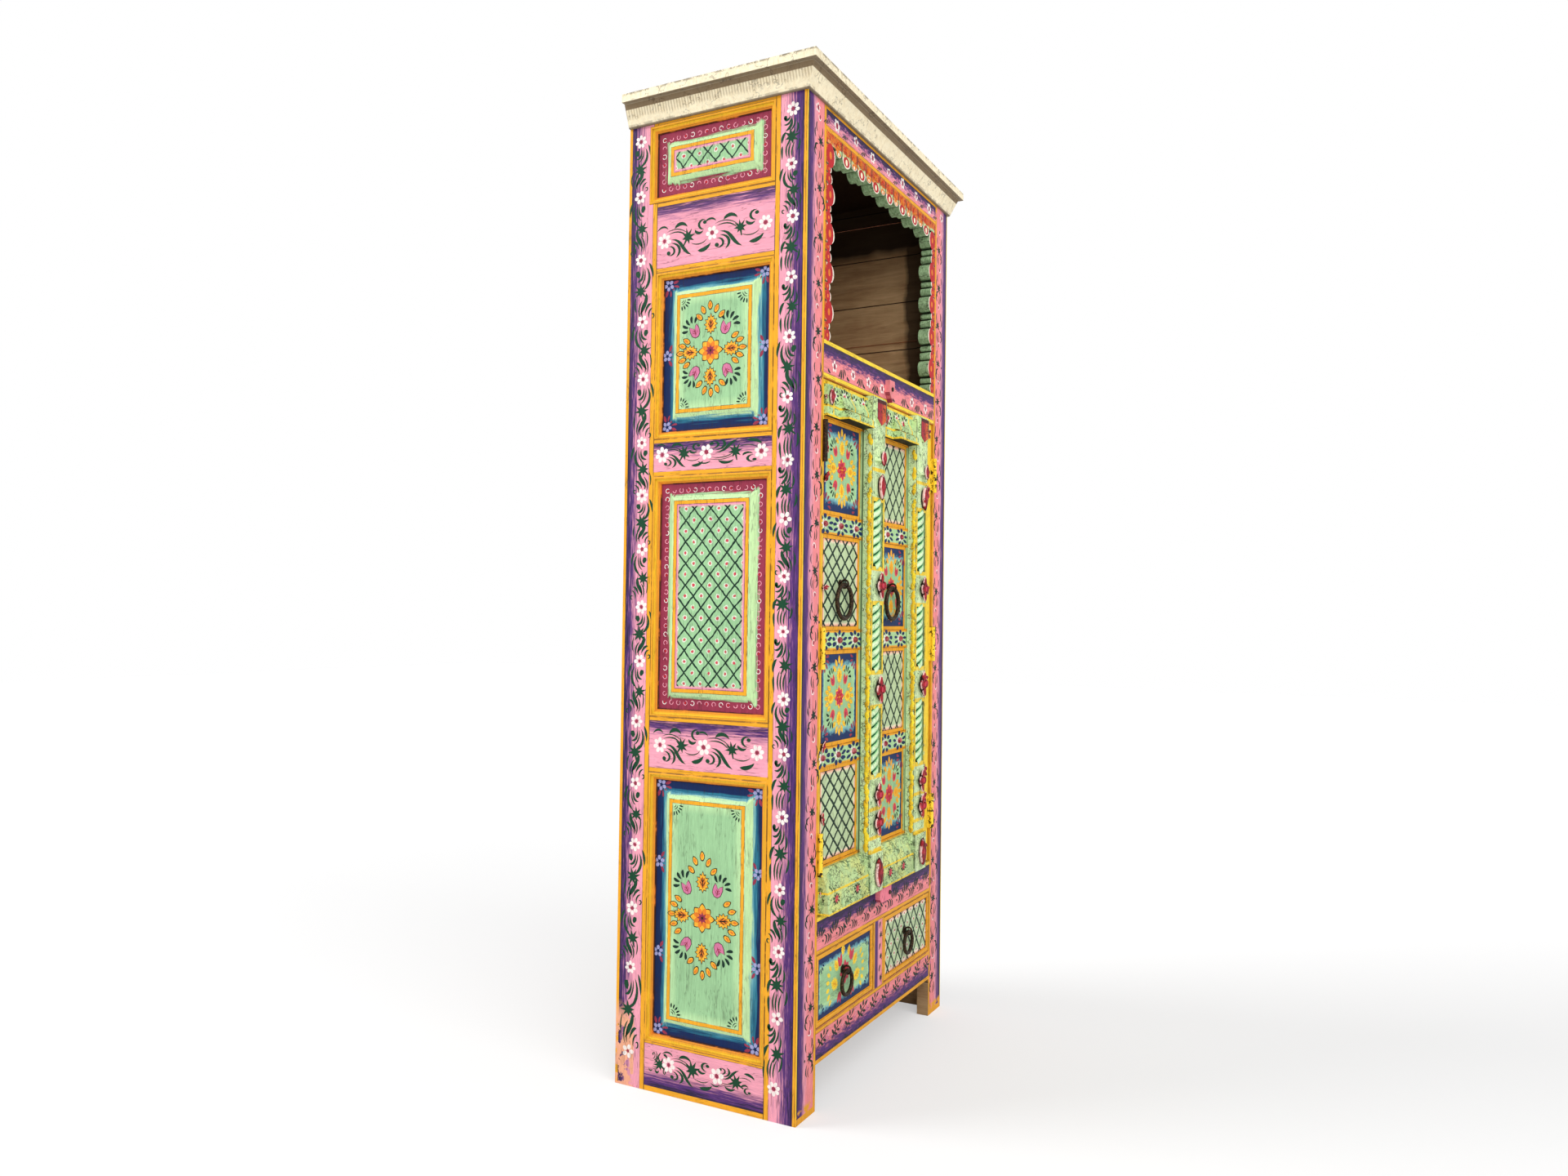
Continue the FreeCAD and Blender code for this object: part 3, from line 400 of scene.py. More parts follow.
def feather(tree, amount, scales):
    # Uneven brush ends, in millimetres
    return (noise(stretched(objectPlace(tree), scales), 5, 3, 0.7) - 0.5) * amount * mm


def lined(tone, along, ranges, colour="ochre"):
    # Clean lines of one colour between pairs of places along one axis, in millimetres
    return mixed(strongest(along.between(low * mm, high * mm, 0.6 * mm) for low, high in ranges), tone, colour)


# Colour schemes of the framed case. Each is a band of colours along one axis, in millimetres.
def sideBands(tree):
    # Stiles of the framed sides, from the front edge to the back edge
    across, deep, up = objectAxes(tree)
    tone = banded(deep + feather(tree, 84, (60, 60, 3)), [
        (-190, "night"), (-184, "night"), (-174, "purple"), (-166, "purple"), (-146, "pink"), (182, "pink"),
        (202, "purple"), (213, "night")])
    tone = lined(tone, deep, ((-191, -182), (-131.5, -121), (150, 161), (214, 222)))
    tone = creased(tone, deep, (-182, -187, -131.5, -122, 151, 161, 213.5))
    rough = noise(objectPlace(tree), 30, 4, 0.7).above(0.44, 0.05)
    patch = deep.above(176 * mm, 3 * mm) * up.below(150 * mm, 40 * mm) * rough * across.below(0, mm)
    return mixed(patch, tone, "salmon")


def railBands(tree):
    # Rails of the framed sides: violet at the top of each, feathered into pink, ochre lines at foot and top
    _, deep, up = objectAxes(tree)
    bands = [(12, "night"), (16, "purple"), (26, "purple"), (46, "pink")]
    lines, cracks = [(0, 10), (93, 97), (1935, 1985)], [10.5, 93]
    for low, high in ((629, 740), (1220, 1295), (1632, 1775)):
        bands += [(high - 37, "pink"), (high - 19, "purple"), (high - 9, "night"), (high - 1, "pink")]
        lines += [(low, low + 9), (high - 8, high)]
        cracks += [low + 1, low + 9.5, high - 8.5, high - 1]
    tone = creased(lined(banded(up + feather(tree, 62, (60, 3, 60)), bands), up, lines), up, cracks)
    return creased(tone, deep, (-121.2, 150.2), 0.7)


def frontStileBands(tree):
    # Front stiles: violet along the outside, pink, and an ochre line round the openings
    across, _, up = objectAxes(tree)
    away = across.size()
    tone = banded(away + feather(tree, 50, (60, 60, 3)), [
        (310, "rose"), (336, "rose"), (346, "pink"), (358, "purple"), (366, "purple"), (374, "night")])
    tone = lined(lined(tone, away, ((299, 309),)), away, ((377, 381),), "yellow")
    tone = creased(tone, away, (301, 309.5, 376.5))
    worn = up.below(26 * mm, 8 * mm) * noise(objectPlace(tree), 60, 3).above(0.5, 0.1)
    return mixed(up.below(12 * mm, mm).high(worn), tone, "ochre")


def frontRailBands(tree):
    # Front rails, from the floor up
    up = objectAxes(tree)[2]
    tone = banded(up + feather(tree, 56, (9, 60, 40)), [
        (95, "night"), (98, "purple"), (113, "purple"), (124, "rose"), (328, "rose"), (338, "purple"),
        (356, "night"), (1418, "rose"), (1444, "rose"), (1455, "purple"), (1474, "night"), (1900, "rose"),
        (1910, "pink"), (1921, "purple"), (1930, "night")])
    tone = lined(tone, up, ((87, 95), (145, 153), (294, 302), (1892, 1901), (1934, 1985)))
    tone = lined(tone, up, ((358, 366), (1409, 1417.5), (1474, 1482)), "yellow")
    return creased(tone, up, (95, 145, 152, 295, 302.5, 357.5, 365, 1410, 1418, 1474, 1893, 1901.5, 1933.5))


def muntinBands(tree):
    across = objectAxes(tree)[0]
    tone = banded(across + feather(tree, 6, (60, 60, 3)), [
        (-28, "ochre"), (-20, "ochre"), (-19, "purple"), (-7, "purple"), (0, "pink"), (19, "rose"),
        (20, "ochre"), (28, "ochre")])
    return creased(tone, across, (-20, 20, -27, 27))


# The visible panels of a side, from the floor up: (low, high, front edge, back edge) in metres
sidePanels = [(97 * mm, 629 * mm, -121.5 * mm, 150.5 * mm), (740 * mm, 1220 * mm, -121.5 * mm, 150.5 * mm),
              (1295 * mm, 1632 * mm, -121.5 * mm, 150.5 * mm), (1775 * mm, 1935 * mm, -121.5 * mm, 170.5 * mm)]
mouldingWidth = 15 * mm


def panelDepth(tree):
    # How far a point of a framed side lies in from the edge of its panel opening, in metres
    _, deep, up = objectAxes(tree)
    return strongest((up * -1 + high).low(up - low).low((deep * -1 + back).low(deep - front))
                     for low, high, front, back in sidePanels)


def mouldingBands(tree):
    # Ochre moulding strips: dark joints at both edges, with painted shade in the quirks and a painted highlight
    # along the bright crest between
    depth = panelDepth(tree)
    # The yellow at 6 mm is a painted highlight along the crest
    tone = banded(depth + feather(tree, 1.5, (8, 8, 8)), [
        (0, "ochre"), (4.4, "ochre"), (6, "yellow"), (9.5, "ochre"), (15, "orange")])
    dusk = noise(stretched(objectPlace(tree), (8, 8, 8)), 3, 4, 0.7).above(0.55, 0.2)
    tone = mixed(dusk * 0.14, tone, paint(176, 116, 40))
    # Lines at 4.6 and 11.5 mm are painted shade in the quirks; those at 0.4 and 14.7 mm are the joints
    return creased(creased(tone, depth, (4.6, 11.5), 0.3, 0.5), depth, (0.4, 14.7), 0.6, 0.95)


def frontStileTone(tree):
    # The front's bands on faces that look to the room, the side's on faces that look sideways
    return mixed(objectNormal(tree)[0].size().above(0.5, 0.1), frontStileBands(tree), sideBands(tree))


def sidePanelTone(tree):
    # Blue borders round the first and third panel, maroon round the others, and their fields
    place = objectPlace(tree)
    _, deep, up = split(place)
    front, back = sidePanels[0][2:]
    inside = (panelDepth(tree) - mouldingWidth) * 1000
    upright = deep.below(front + 50 * mm, mm).high(deep.above(back - 50 * mm, mm))
    flat = noise(stretched(place, (60, 3, 60)), 2.4, 3, 0.7)
    strokes = (flat + (noise(stretched(place, (60, 60, 3)), 2.4, 3, 0.7) - flat) * upright - 0.5) * 32
    border = inside + (noise(place, 27, 2) - 0.5) * 2
    bright = deep.below(front + 46 * mm, 6 * mm) * 6
    share = (border + (strokes + bright) * border.below(29, 6) * border.above(3, 3)) / 60
    blue = ramp(share, [(0, "night"), (0.05, "navy"), (0.22, "navy"), (0.34, "turquoise"), (0.42, "sky"),
                        (0.48, "paleMint"), (0.6, "paleMint"), (1, "mint")])
    red = ramp(share, [(0, "maroon"), (0.35, "maroon"), (0.40, "mint"), (0.47, "paleMint"), (0.70, "paleMint"),
                       (0.71, "tulip"), (0.76, "pink"), (0.84, "mint"), (1, "mint")])
    low, high = sidePanels[1][:2]
    isRed = (up.above(low, mm) * up.below(high, mm)).high(up.above(sidePanels[3][0], mm))
    drawn = useGroup(tree, lattice, Across=deep - 14.5 * mm, Up=up - (low + high) / 2)
    field = inside.above(47, 1.5)
    red = layered(red, (drawn["Rings"] * field * 0.75, "white"), (drawn["Dots"] * field, "crimson"),
                  (drawn["Lines"] * field, "inkGreen"))
    veins = noise(stretched(place, (70, 70, 3)), 3, 4, 0.7).above(0.6, 0.1) * noise(place, 9, 2).above(0.5, 0.2)
    # Dark lines: the joint at the moulding's inner edge, and painted shade along both edges of the ochre line
    # at the step of the raised field
    creases = (border - 34.8).size().low((border - 42.4).size()).below(0.5, 0.6).high(border.below(1, 0.8))
    creases = creases * noise(place, 60, 2).above(0.42, 0.15) * 0.8
    return layered(mixed(isRed, blue, red), (veins * 0.22, "inkGreen"), (border.near(38.5, 3.6, 0.5), "ochre"),
                   (creases, "ink"))


def creamTone(tree):
    # Cream paint over old boards: planer ribs along the side crowns, a brown band of painted shadow under the
    # slab, chipped edges on the slab, and near-black painted shade on the undersides inside the case
    place = objectPlace(tree)
    across, deep, up = split(place)
    facing = objectNormal(tree)
    ribs = (deep * 980 + (noise(place, 5, 2) - 0.5) * 4).op("SINE") * 0.5 + 0.5
    ribs = ribs * up.below(1.973, 0.003) * (up + (noise(place, 14, 3) - 0.5) * 0.03).above(1.957, 0.006)
    ribs = ribs * facing[0].size().above(0.6, 0.1)
    dirt = noise(stretched(place, (30, 30, 30)), 3, 5, 0.7)
    drips = noise(stretched(place, (60, 60, 5)), 3, 4, 0.7).above(0.62, 0.08)
    # Painted shadow: a brown band under the overhang of the slab
    slabShadow = up.near(1.977, 5 * mm, mm)
    joint = up.near(1.9828, 0.8 * mm, 0.8 * mm).high(up.near(1.9398, 1.6 * mm, 1.6 * mm))
    slabEdge = across.size().above(403 * mm, 8 * mm).high(deep.size().above(212 * mm, 8 * mm))
    chipped = (up.above(1.9965, 3 * mm) * slabEdge).high(up.below(1.945, 2 * mm) * 0.6)
    chipped = chipped * noise(place, 42, 4, 0.75).above(0.5, 0.08)
    # Painted shade on the faces that look down inside the case
    shadedUnderside = facing[2].below(-0.5, 0.2) * across.size().below(378 * mm, mm) * deep.above(-180 * mm, mm)
    tone = mixed(dirt.above(0.6, 0.35) * 0.6, "cream", paint(222, 200, 156))
    tone = layered(tone, (ribs * 0.5, paint(150, 124, 84)), (drips * 0.35, paint(176, 150, 108)),
                   (slabShadow * 0.9, paint(112, 88, 58)), (joint * 0.8, paint(84, 62, 40)),
                   (chipped * 0.75, paint(120, 106, 86)), (shadedUnderside, paint(44, 30, 20)))
    return tone, ribs * 0.9 - slabShadow


def makeBareWood(name, flow):
    material, tree, shader = newMaterial(name)
    finishMaterial(tree, shader, useGroup(tree, oldWood, Flow=flow), 0.5, 0.8)
    return material


def makeIron(name, painted=False):
    # Dark hammered iron with rust in its pits; painted has yellow left over most of it
    material, tree, shader = newMaterial(name)
    place = objectPlace(tree)
    across, _, up = split(place)
    pits = noise(place, 260, 4, 0.65)
    tone = mixed(pits.above(0.56, 0.12), "iron", paint(84, 60, 40))
    metal = pits.below(0.6, 0.2) * 0.7
    if painted:
        bareOne = up.above(1.2, 0.01) * across.below(0, 0.01)
        cover = noise(place, 90, 4, 0.7).above(0.45, 0.05) * bareOne.flipped()
        tone = mixed(cover, tone, "yellow")
        metal = metal * cover.flipped()
    feed(tree, shader.inputs["Metallic"], metal)
    finishMaterial(tree, shader, {"Color": tone, "Roughness": pits * 0.35 + 0.35, "Height": pits}, 0.6, 0.5)
    return material


def assign(material, *names):
    for name in names:
        for place in nodes[name].material_slots:
            place.material = material


def assignBoth(material, *names):
    # The same names on both sides
    assign(material, *[side + "_" + name for side in ("left", "right") for name in names])


assign(brushedMaterial("frontStilePaint", frontStileTone, bare=behind, Wear=0.35), "front_left_stile",
       "front_right_stile")
assign(brushedMaterial("frontRailPaint", frontRailBands, "across", behind, Wear=0.35), "front_top_rail",
       "front_mid_rail", "front_lower_rail", "front_apron")
assign(brushedMaterial("muntinPaint", muntinBands, bare=behind, Wear=0.3), "drawer_muntin")
assignBoth(brushedMaterial("sideStilePaint", sideBands, bare=inward, Wear=0.35), "side_front_stile",
           "side_back_stile")
assignBoth(brushedMaterial("sideRailPaint", railBands, "deep", inward, Wear=0.3), "side_rails")
assignBoth(brushedMaterial("ochreMouldingPaint", mouldingBands, bare=inward, Wear=0.02, Streak=0.14, Age=0.12),
           "side_mouldings")
assignBoth(brushedMaterial("sidePanelPaint", sidePanelTone, bare=inward, Wear=0.2, Streak=0.24, Under="mint"),
           "side_panels")
assign(brushedMaterial("creamPaint", creamTone, (20, 20, 20), None, 0.5, 0.6, Wear=0.3, Streak=0.1, Age=0.25,
                       Under=paint(112, 90, 64)), "cornice_crown", "cornice_slab")
rustedIron, paintedHinge = makeIron("rustedIron"), makeIron("paintedHinge", True)
assignBoth(rustedIron, "door_ring", "door_eye", "drawer_ring", "drawer_eye")
assign(rustedIron, "turn_button_screws")
assignBoth(paintedHinge, "door_hinge_flaps")
assign(paintedHinge, "hinge_case_flaps", "hinge_pins")
bareDeep = makeBareWood("bareBoardsDeep", grains["deep"])
assignBoth(bareDeep, "drawer_box", "drawer_bottom")
assign(bareDeep, "drawer_runners")
assign(makeBareWood("bareBoardsUp", grains["up"]), "back_boards")
assign(makeBareWood("bareBoardsAcross", grains["across"]), "niche_floor", "cupboard_shelf", "cupboard_floor")
print("case dressed")


# Painted motifs. Each is a thin closed solid drawn in millimetres, x to the right, y up, z out of the wood.
motifSettings = {"sunk": 0.12, "rise": 0.2, "strokeSteps": 7, "wobble": 4, "vary": 0.07}


def turned(points, x, y, turn):
    # Points turned about the middle, in degrees, then moved
    angle = math.radians(turn)
    return [(x + a * math.cos(angle) - b * math.sin(angle), y + a * math.sin(angle) + b * math.cos(angle))
            for a, b in points]


def egg(x, y, wide, tall, turn=0, sides=9):
    # Rounded dab
    steps = [2 * math.pi * i / sides for i in range(sides)]
    return turned([(wide / 2 * math.cos(t), tall / 2 * math.sin(t)) for t in steps], x, y, turn)


def drop(x, y, wide, tall, turn=0):
    # Teardrop: round foot, pointed tip
    half = [(0, -0.5), (0.28, -0.42), (0.47, -0.18), (0.5, 0.05), (0.3, 0.32), (0, 0.5)]
    shape = half + [(-a, b) for a, b in reversed(half[1:-1])]
    return turned([(a * wide, b * tall) for a, b in shape], x, y, turn)


def stroke(width, *path, fat=0.5):
    # One pull of a brush along a curve of four points, thickest at the share fat of its length
    (x0, y0), (x1, y1), (x2, y2), (x3, y3) = path
    left, right = [], []
    steps = motifSettings["strokeSteps"]
    for i in range(steps + 1):
        t = i / steps
        u = 1 - t
        x = u ** 3 * x0 + 3 * u * u * t * x1 + 3 * u * t * t * x2 + t ** 3 * x3
        y = u ** 3 * y0 + 3 * u * u * t * y1 + 3 * u * t * t * y2 + t ** 3 * y3
        dx = 3 * u * u * (x1 - x0) + 6 * u * t * (x2 - x1) + 3 * t * t * (x3 - x2)
        dy = 3 * u * u * (y1 - y0) + 6 * u * t * (y2 - y1) + 3 * t * t * (y3 - y2)
        run = math.hypot(dx, dy) or 1
        share = t / fat * 0.5 if t < fat else 0.5 + (t - fat) / (1 - fat) * 0.5
        half = width * 0.7 * math.sin(math.pi * min(1, share)) ** 0.7
        if 0 < i < steps:
            left.append((x - dy / run * half, y + dx / run * half))
            right.append((x + dy / run * half, y - dx / run * half))
        else:
            left.append((x, y))
    return left + right[::-1]


def ringParts(radius, wide, start=0, sweep=360, sides=9):
    # A ring or part of one, as short wedges
    parts = []
    for i in range(sides):
        a, b = (math.radians(start + sweep * (i + k) / sides) for k in (0, 1))
        inner, outer = radius - wide / 2, radius + wide / 2
        parts.append([(inner * math.cos(a), inner * math.sin(a)), (outer * math.cos(a), outer * math.sin(a)),
                      (outer * math.cos(b), outer * math.sin(b)), (inner * math.cos(b), inner * math.sin(b))])
    return parts


def jagged(seed, points, amount):
    rng = random.Random(seed)
    return [(x + rng.uniform(-amount, amount), y + rng.uniform(-amount, amount)) for x, y in points]


def around(count, radius, make, first=90, sweep=360):
    # Shapes turned about the middle; make(x, y, turn) gives one whose top points outward
    parts = []
    for i in range(count):
        angle = first + sweep * i / (count if sweep == 360 else max(1, count - 1))
        across, upward = math.cos(math.radians(angle)), math.sin(math.radians(angle))
        parts.append(make(radius * across, radius * upward, angle - 90))
    return parts


blossomHalf = [(0, 22), (2.5, 14.5), (6.5, 16), (6.3, 9.6), (12.5, 10), (9.4, 4.2), (14.5, 0.6), (9.4, -2.8),
               (12.2, -8.4), (6.8, -9), (7.2, -14.8), (2.6, -13), (0, -19)]
blossomOutline = blossomHalf + [(-x, y) for x, y in blossomHalf[-2:0:-1]]
tulipOutline = [(-9, 14), (-3, 8), (0, 4), (3, 9), (9, 13), (11, 4), (9, -7), (3, -13), (-5, -12.5), (-11, -6),
                (-11.5, 4)]
leafOutline = [(0, 12), (1.9, 4.6), (8.6, 9), (4.8, 2.2), (11, 0.4), (4.4, -1.6), (6.8, -6.6), (1.5, -4),
               (0.7, -12), (-0.9, -11.6), (-1.5, -4), (-6, -6), (-4.2, -1), (-11, 1.4), (-4.5, 2.8), (-8, 9.6),
               (-1.9, 5)]

stileSpray = [
    jagged(3, egg(-8.5, -22, 11, 12, 20), 0.8), stroke(3.6, (3, -15), (5, -28), (0, -34), (-12, -34)),
    stroke(2.4, (8, -15), (11, -26), (6, -36), (-4, -41)),
    stroke(2.2, (-16, -58), (-22, -66), (-22, -78), (-18, -86)),
    stroke(4.6, (13, -13), (24, -27), (19, -42), (3, -50), fat=0.6),
    stroke(4, (20, -7), (24, -13), (29, -22), (28, -33)),
    stroke(6, (9, -55), (11, -66), (2, -78), (-9, -88), fat=0.35),
    stroke(2.6, (-2, -66), (-11, -74), (-15, -84), (-9, -95)),
    stroke(2.6, (3, -68), (-5, -76), (-8, -86), (-3, -94)),
    stroke(3.6, (20, -74), (12, -74), (6, -80), (3, -89), fat=0.4),
    stroke(2.6, (23, -81), (14, -83), (10, -90), (13, -97)),
    stroke(2.2, (18, -92), (27, -87), (27, -99), (19, -98)),
]
stileSprayCurled = [
    stroke(3.8, (-6, -13), (-8, -24), (-22, -22), (-17, -13)), egg(-17, -16, 8, 9),
    stroke(3, (-3, -15), (-3, -27), (-12, -32), (-20, -29)),
    stroke(4.6, (-13, -44), (-20, -48), (-23, -57), (-22, -66), fat=0.5),
    stroke(4.4, (-2, -17), (2, -30), (-6, -38), (-15, -42), fat=0.55),
    stroke(2.6, (5, -16), (9, -28), (3, -37), (-3, -42)),
    stroke(3.4, (-20, -70), (-22, -78), (-20, -88), (-19, -98), fat=0.35),
    stroke(2.6, (-6, -62), (-13, -74), (-12, -84), (-8, -95)),
    stroke(2.6, (0, -64), (-6, -76), (-6, -86), (-2, -95)),
    stroke(2.4, (8, -64), (2, -76), (1, -86), (4, -94)),
    stroke(3, (11, -26), (16, -34), (15, -42), (9, -48)),
    stroke(3.2, (18, -58), (22, -66), (20, -76), (14, -82)),
]
railSpray = [
    stroke(3, (-16, 22), (-8, 32), (2, 32), (8, 23)),
    stroke(5.4, (22, 22), (30, 33), (42, 33), (50, 22), fat=0.4),
    stroke(2, (8, 12), (26, 19), (41, 14), (50, 1)),
    stroke(1.4, (5, 17), (22, 25), (40, 21), (53, 6)),
    stroke(5, (15, 1), (40, 0), (37, -26), (59, -36), fat=0.62),
    stroke(4, (15, -6), (34, -9), (40, -26), (26, -37), fat=0.6),
    stroke(3.2, (9, -12), (26, -12), (27, -34), (9, -31)), egg(9.5, -26, 8, 9, 30),
    stroke(3.6, (86, 11), (70, 12), (71, 33), (88, 31)), egg(87, 25, 8, 7.5),
    stroke(4.2, (66, 13), (69, 4), (78, 2), (84, 9), fat=0.35),
    stroke(1.6, (57, -12), (70, -20), (85, -18), (92, -9)),
    stroke(6, (72, -30), (82, -32), (93, -29), (100, -18), fat=0.4),
]

motifShapes = {
    "daisySeven": around(7, 10.3, lambda x, y, turn: egg(x, y, 8.4, 11, turn)),
    "daisySix": around(6, 10, lambda x, y, turn: egg(x, y, 9.4, 11, turn + 6)),
    "daisyFive": around(5, 9.6, lambda x, y, turn: egg(x, y, 9.6, 11.5, turn - 5)),
    "dot": [jagged(5, egg(0, 0, 9, 9.6, 0, 8), 0.4)],
    "leaf": [leafOutline],
    "comma": [stroke(4.2, (0, -8), (-1.4, -3), (-1.2, 4), (2, 8), fat=0.68)],
    "stileSpray": stileSpray,
    "stileSprayTwin": [[(-x * 0.95, y + 1.5) for x, y in part] for part in stileSpray],
    "stileSprayCurled": stileSprayCurled,
    "railSpray": railSpray,
    "railSprayTwin": [[(x, -y * 0.9 - 2) for x, y in part] for part in railSpray],
    "ring": ringParts(4.3, 1.3, 40, 290),
    "crescent": ringParts(4.2, 1.5, 150, 200, 7),
    "veins": [
        stroke(1.7, (0, -12), (0.6, -4), (-0.5, 4), (0, 13)), stroke(1.2, (0, -7), (3, -3), (5, 1), (7, 4)),
        stroke(1.2, (0, -7), (-3, -3), (-5, 1), (-7, 4)), stroke(1.1, (0, 1), (2, 4), (3.5, 7), (4, 10)),
        stroke(1.1, (0, 1), (-2, 4), (-3.5, 7), (-4, 10))],
    "burst": around(9, 15.5, lambda x, y, turn: drop(x, y, 6, 10 + 2 * math.sin(turn), turn + 180)),
    "tuft": [
        stroke(2.8, (0, 7), (-1, 2), (-5, -3), (-9, -7), fat=0.7),
        stroke(3, (3, 7), (3, 1), (1, -5), (-2, -11), fat=0.7),
        stroke(3, (6, 7), (8, 1), (8, -5), (6, -11), fat=0.7),
        stroke(2.6, (9, 8), (13, 4), (15, -1), (15, -6))],
    "hooks": [
        stroke(2.6, (-8, 6), (2, 6), (4, -4), (-4, -10)), stroke(2.4, (0, 7), (9, 5), (9, -3), (3, -9)),
        stroke(2, (8, 6), (14, 3), (14, -2), (9, -7)), egg(-9, -3, 3.6, 4.4, 30)],
    "sprig": [
        stroke(1.8, (-11, -8), (-5, -1), (2, 3), (12, 6)), drop(-7, 3, 4, 10, 30), drop(-1, 8, 4, 10, 18),
        drop(6, 11, 3.6, 9, -4), drop(1, -4, 3.6, 9, -130), drop(8, -1, 3.6, 9, -112),
        drop(14, 8, 3.8, 9, -56)],
    "eightPetals": around(
        8, 16, lambda x, y, turn: drop(x, y, 14, 22 if round(turn) % 90 == 0 else 17, turn)),
    "eightPetalsHeart": around(8, 10, lambda x, y, turn: drop(x, y, 8, 14, turn)),
    "blossom": [blossomOutline],
    "tulip": [tulipOutline],
    "teardrop": [drop(0, 0, 9, 16)],
    "fanOfFive": around(5, 16, lambda x, y, turn: stroke(
        3.6, *turned(((0, -6), (-1, -2), (-1, 3), (1.5, 7)), x, y, turn), fat=0.65), 30, 120),
    "quarterSun": around(5, 17, lambda x, y, turn: drop(x, y, 3, 9, turn + 180), 6, 78) + [
        stroke(1, (0, 9.5), (5.4, 9.5), (9.5, 5.4), (9.5, 0)),
        stroke(1, (0, 5.5), (3, 5.5), (5.5, 3), (5.5, 0))],
    "bossPetals": around(6, 7, lambda x, y, turn: drop(x, y, 5.4, 11, turn), 60),
}


def makeMotif(name, parts):
    # A flat solid with one prism to each part
    sunk, rise = motifSettings["sunk"], motifSettings["rise"]
    verts, faces = [], []
    for part in parts:
        area = sum(a[0] * b[1] - b[0] * a[1] for a, b in zip(part, part[1:] + part[:1]))
        if area < 0:
            part = part[::-1]
        first, count = len(verts), len(part)
        verts += [(x, y, -sunk) for x, y in part] + [(x, y, rise) for x, y in part]
        faces.append([first + count + i for i in range(count)])
        faces.append([first + i for i in reversed(range(count))])
        for i in range(count):
            j = (i + 1) % count
            faces.append([first + i, first + j, first + count + j, first + count + i])
    mesh = bpy.data.meshes.new(name)
    mesh.from_pydata(verts, [], faces)
    return bpy.data.objects.new("motif_" + name, mesh)


motifs = {name: makeMotif(name, parts) for name, parts in motifShapes.items()}


def geometryTree(name, inputs):
    # A Geometry Nodes tree with named sockets and one geometry output
    tree = bpy.data.node_groups.new(name, "GeometryNodeTree")
    sockets = {}
    for label, kind in inputs:
        sockets[label] = tree.interface.new_socket(
            label, in_out="INPUT", socket_type="NodeSocket" + kind).identifier
    tree.interface.new_socket("Geometry", in_out="OUTPUT", socket_type="NodeSocketGeometry")
    start, end = tree.nodes.new("NodeGroupInput"), tree.nodes.new("NodeGroupOutput")
    return tree, sockets, {label: Wire(tree, start.outputs[label]) for label, _ in inputs}, end


def finishTree(tree, end, placed, material):
    # Makes the instances real and gives them their paint
    real = add(tree, "GeometryNodeRealizeInstances", {0: placed})
    feed(tree, end.inputs[0], add(tree, "GeometryNodeSetMaterial", {"Geometry": real, "Material": material}))


def makePlaceMotifs():
    # Geometry Nodes: sets one motif at each point, turned and stretched as the point says, with a shaky hand
    tree, sockets, given, end = geometryTree("placeMotifs", (
        ("Points", "Geometry"), ("Motif", "Object"), ("Paint", "Material"), ("Scale", "Float"),
        ("Wobble", "Float"), ("Vary", "Float"), ("Seed", "Int")))
    turn, stretch = (add(tree, "GeometryNodeInputNamedAttribute", {"Name": name}, data_type="FLOAT_VECTOR")
                     for name in ("turn", "stretch"))
    wobble, vary, seed = given["Wobble"], given["Vary"], given["Seed"]
    angle = add(tree, "FunctionNodeRandomValue", {2: wobble * -1, 3: wobble, "Seed": seed}, 1)
    change = add(tree, "FunctionNodeRandomValue", {2: vary.flipped(), 3: vary + 1, "Seed": seed}, 1)
    shake = add(tree, "FunctionNodeEulerToRotation", {0: add(tree, "ShaderNodeCombineXYZ", {"Z": angle})})
    placed = add(tree, "GeometryNodeInstanceOnPoints", {
        "Points": given["Points"],
        "Instance": add(tree, "GeometryNodeObjectInfo", {"Object": given["Motif"]}, "Geometry"),
        "Rotation": add(tree, "FunctionNodeRotateRotation", {
            0: add(tree, "FunctionNodeEulerToRotation", {0: turn}), 1: shake}, rotation_space="LOCAL"),
        "Scale": add(tree, "ShaderNodeVectorMath", {0: stretch, "Scale": change * given["Scale"]},
                     operation="SCALE")})
    finishTree(tree, end, placed, given["Paint"])
    return tree, sockets


placeMotifs, placeSockets = makePlaceMotifs()


def treeResult(host, tree, sockets, values):
    # Runs a Geometry Nodes tree on host and returns the plain mesh; the modifier and host are removed
    bpy.context.scene.collection.objects.link(host)
    modifier = host.modifiers.new("make", "NODES")
    modifier.node_group = tree
    for label, value in values.items():
        modifier[sockets[label]] = value
    bpy.context.view_layer.update()
    made = host.evaluated_get(bpy.context.evaluated_depsgraph_get())
    mesh = bpy.data.meshes.new_from_object(made)
    host.modifiers.remove(modifier)
    bpy.data.objects.remove(host)
    return mesh


def joined(name, meshes, body):
    # One object of several meshes, each with one material
    whole = bmesh.new()
    target = bpy.data.meshes.new(name)
    for number, mesh in enumerate(meshes):
        before = len(whole.faces)
        whole.from_mesh(mesh)
        whole.faces.ensure_lookup_table()
        for face in whole.faces[before:]:
            face.material_index = number
        target.materials.append(next(material for material in mesh.materials if material))
        bpy.data.meshes.remove(mesh)
    whole.to_mesh(target)
    whole.free()
    piece = bpy.data.objects.new(name, target)
    bpy.context.scene.collection.objects.link(piece)
    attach(piece, body)
    return piece


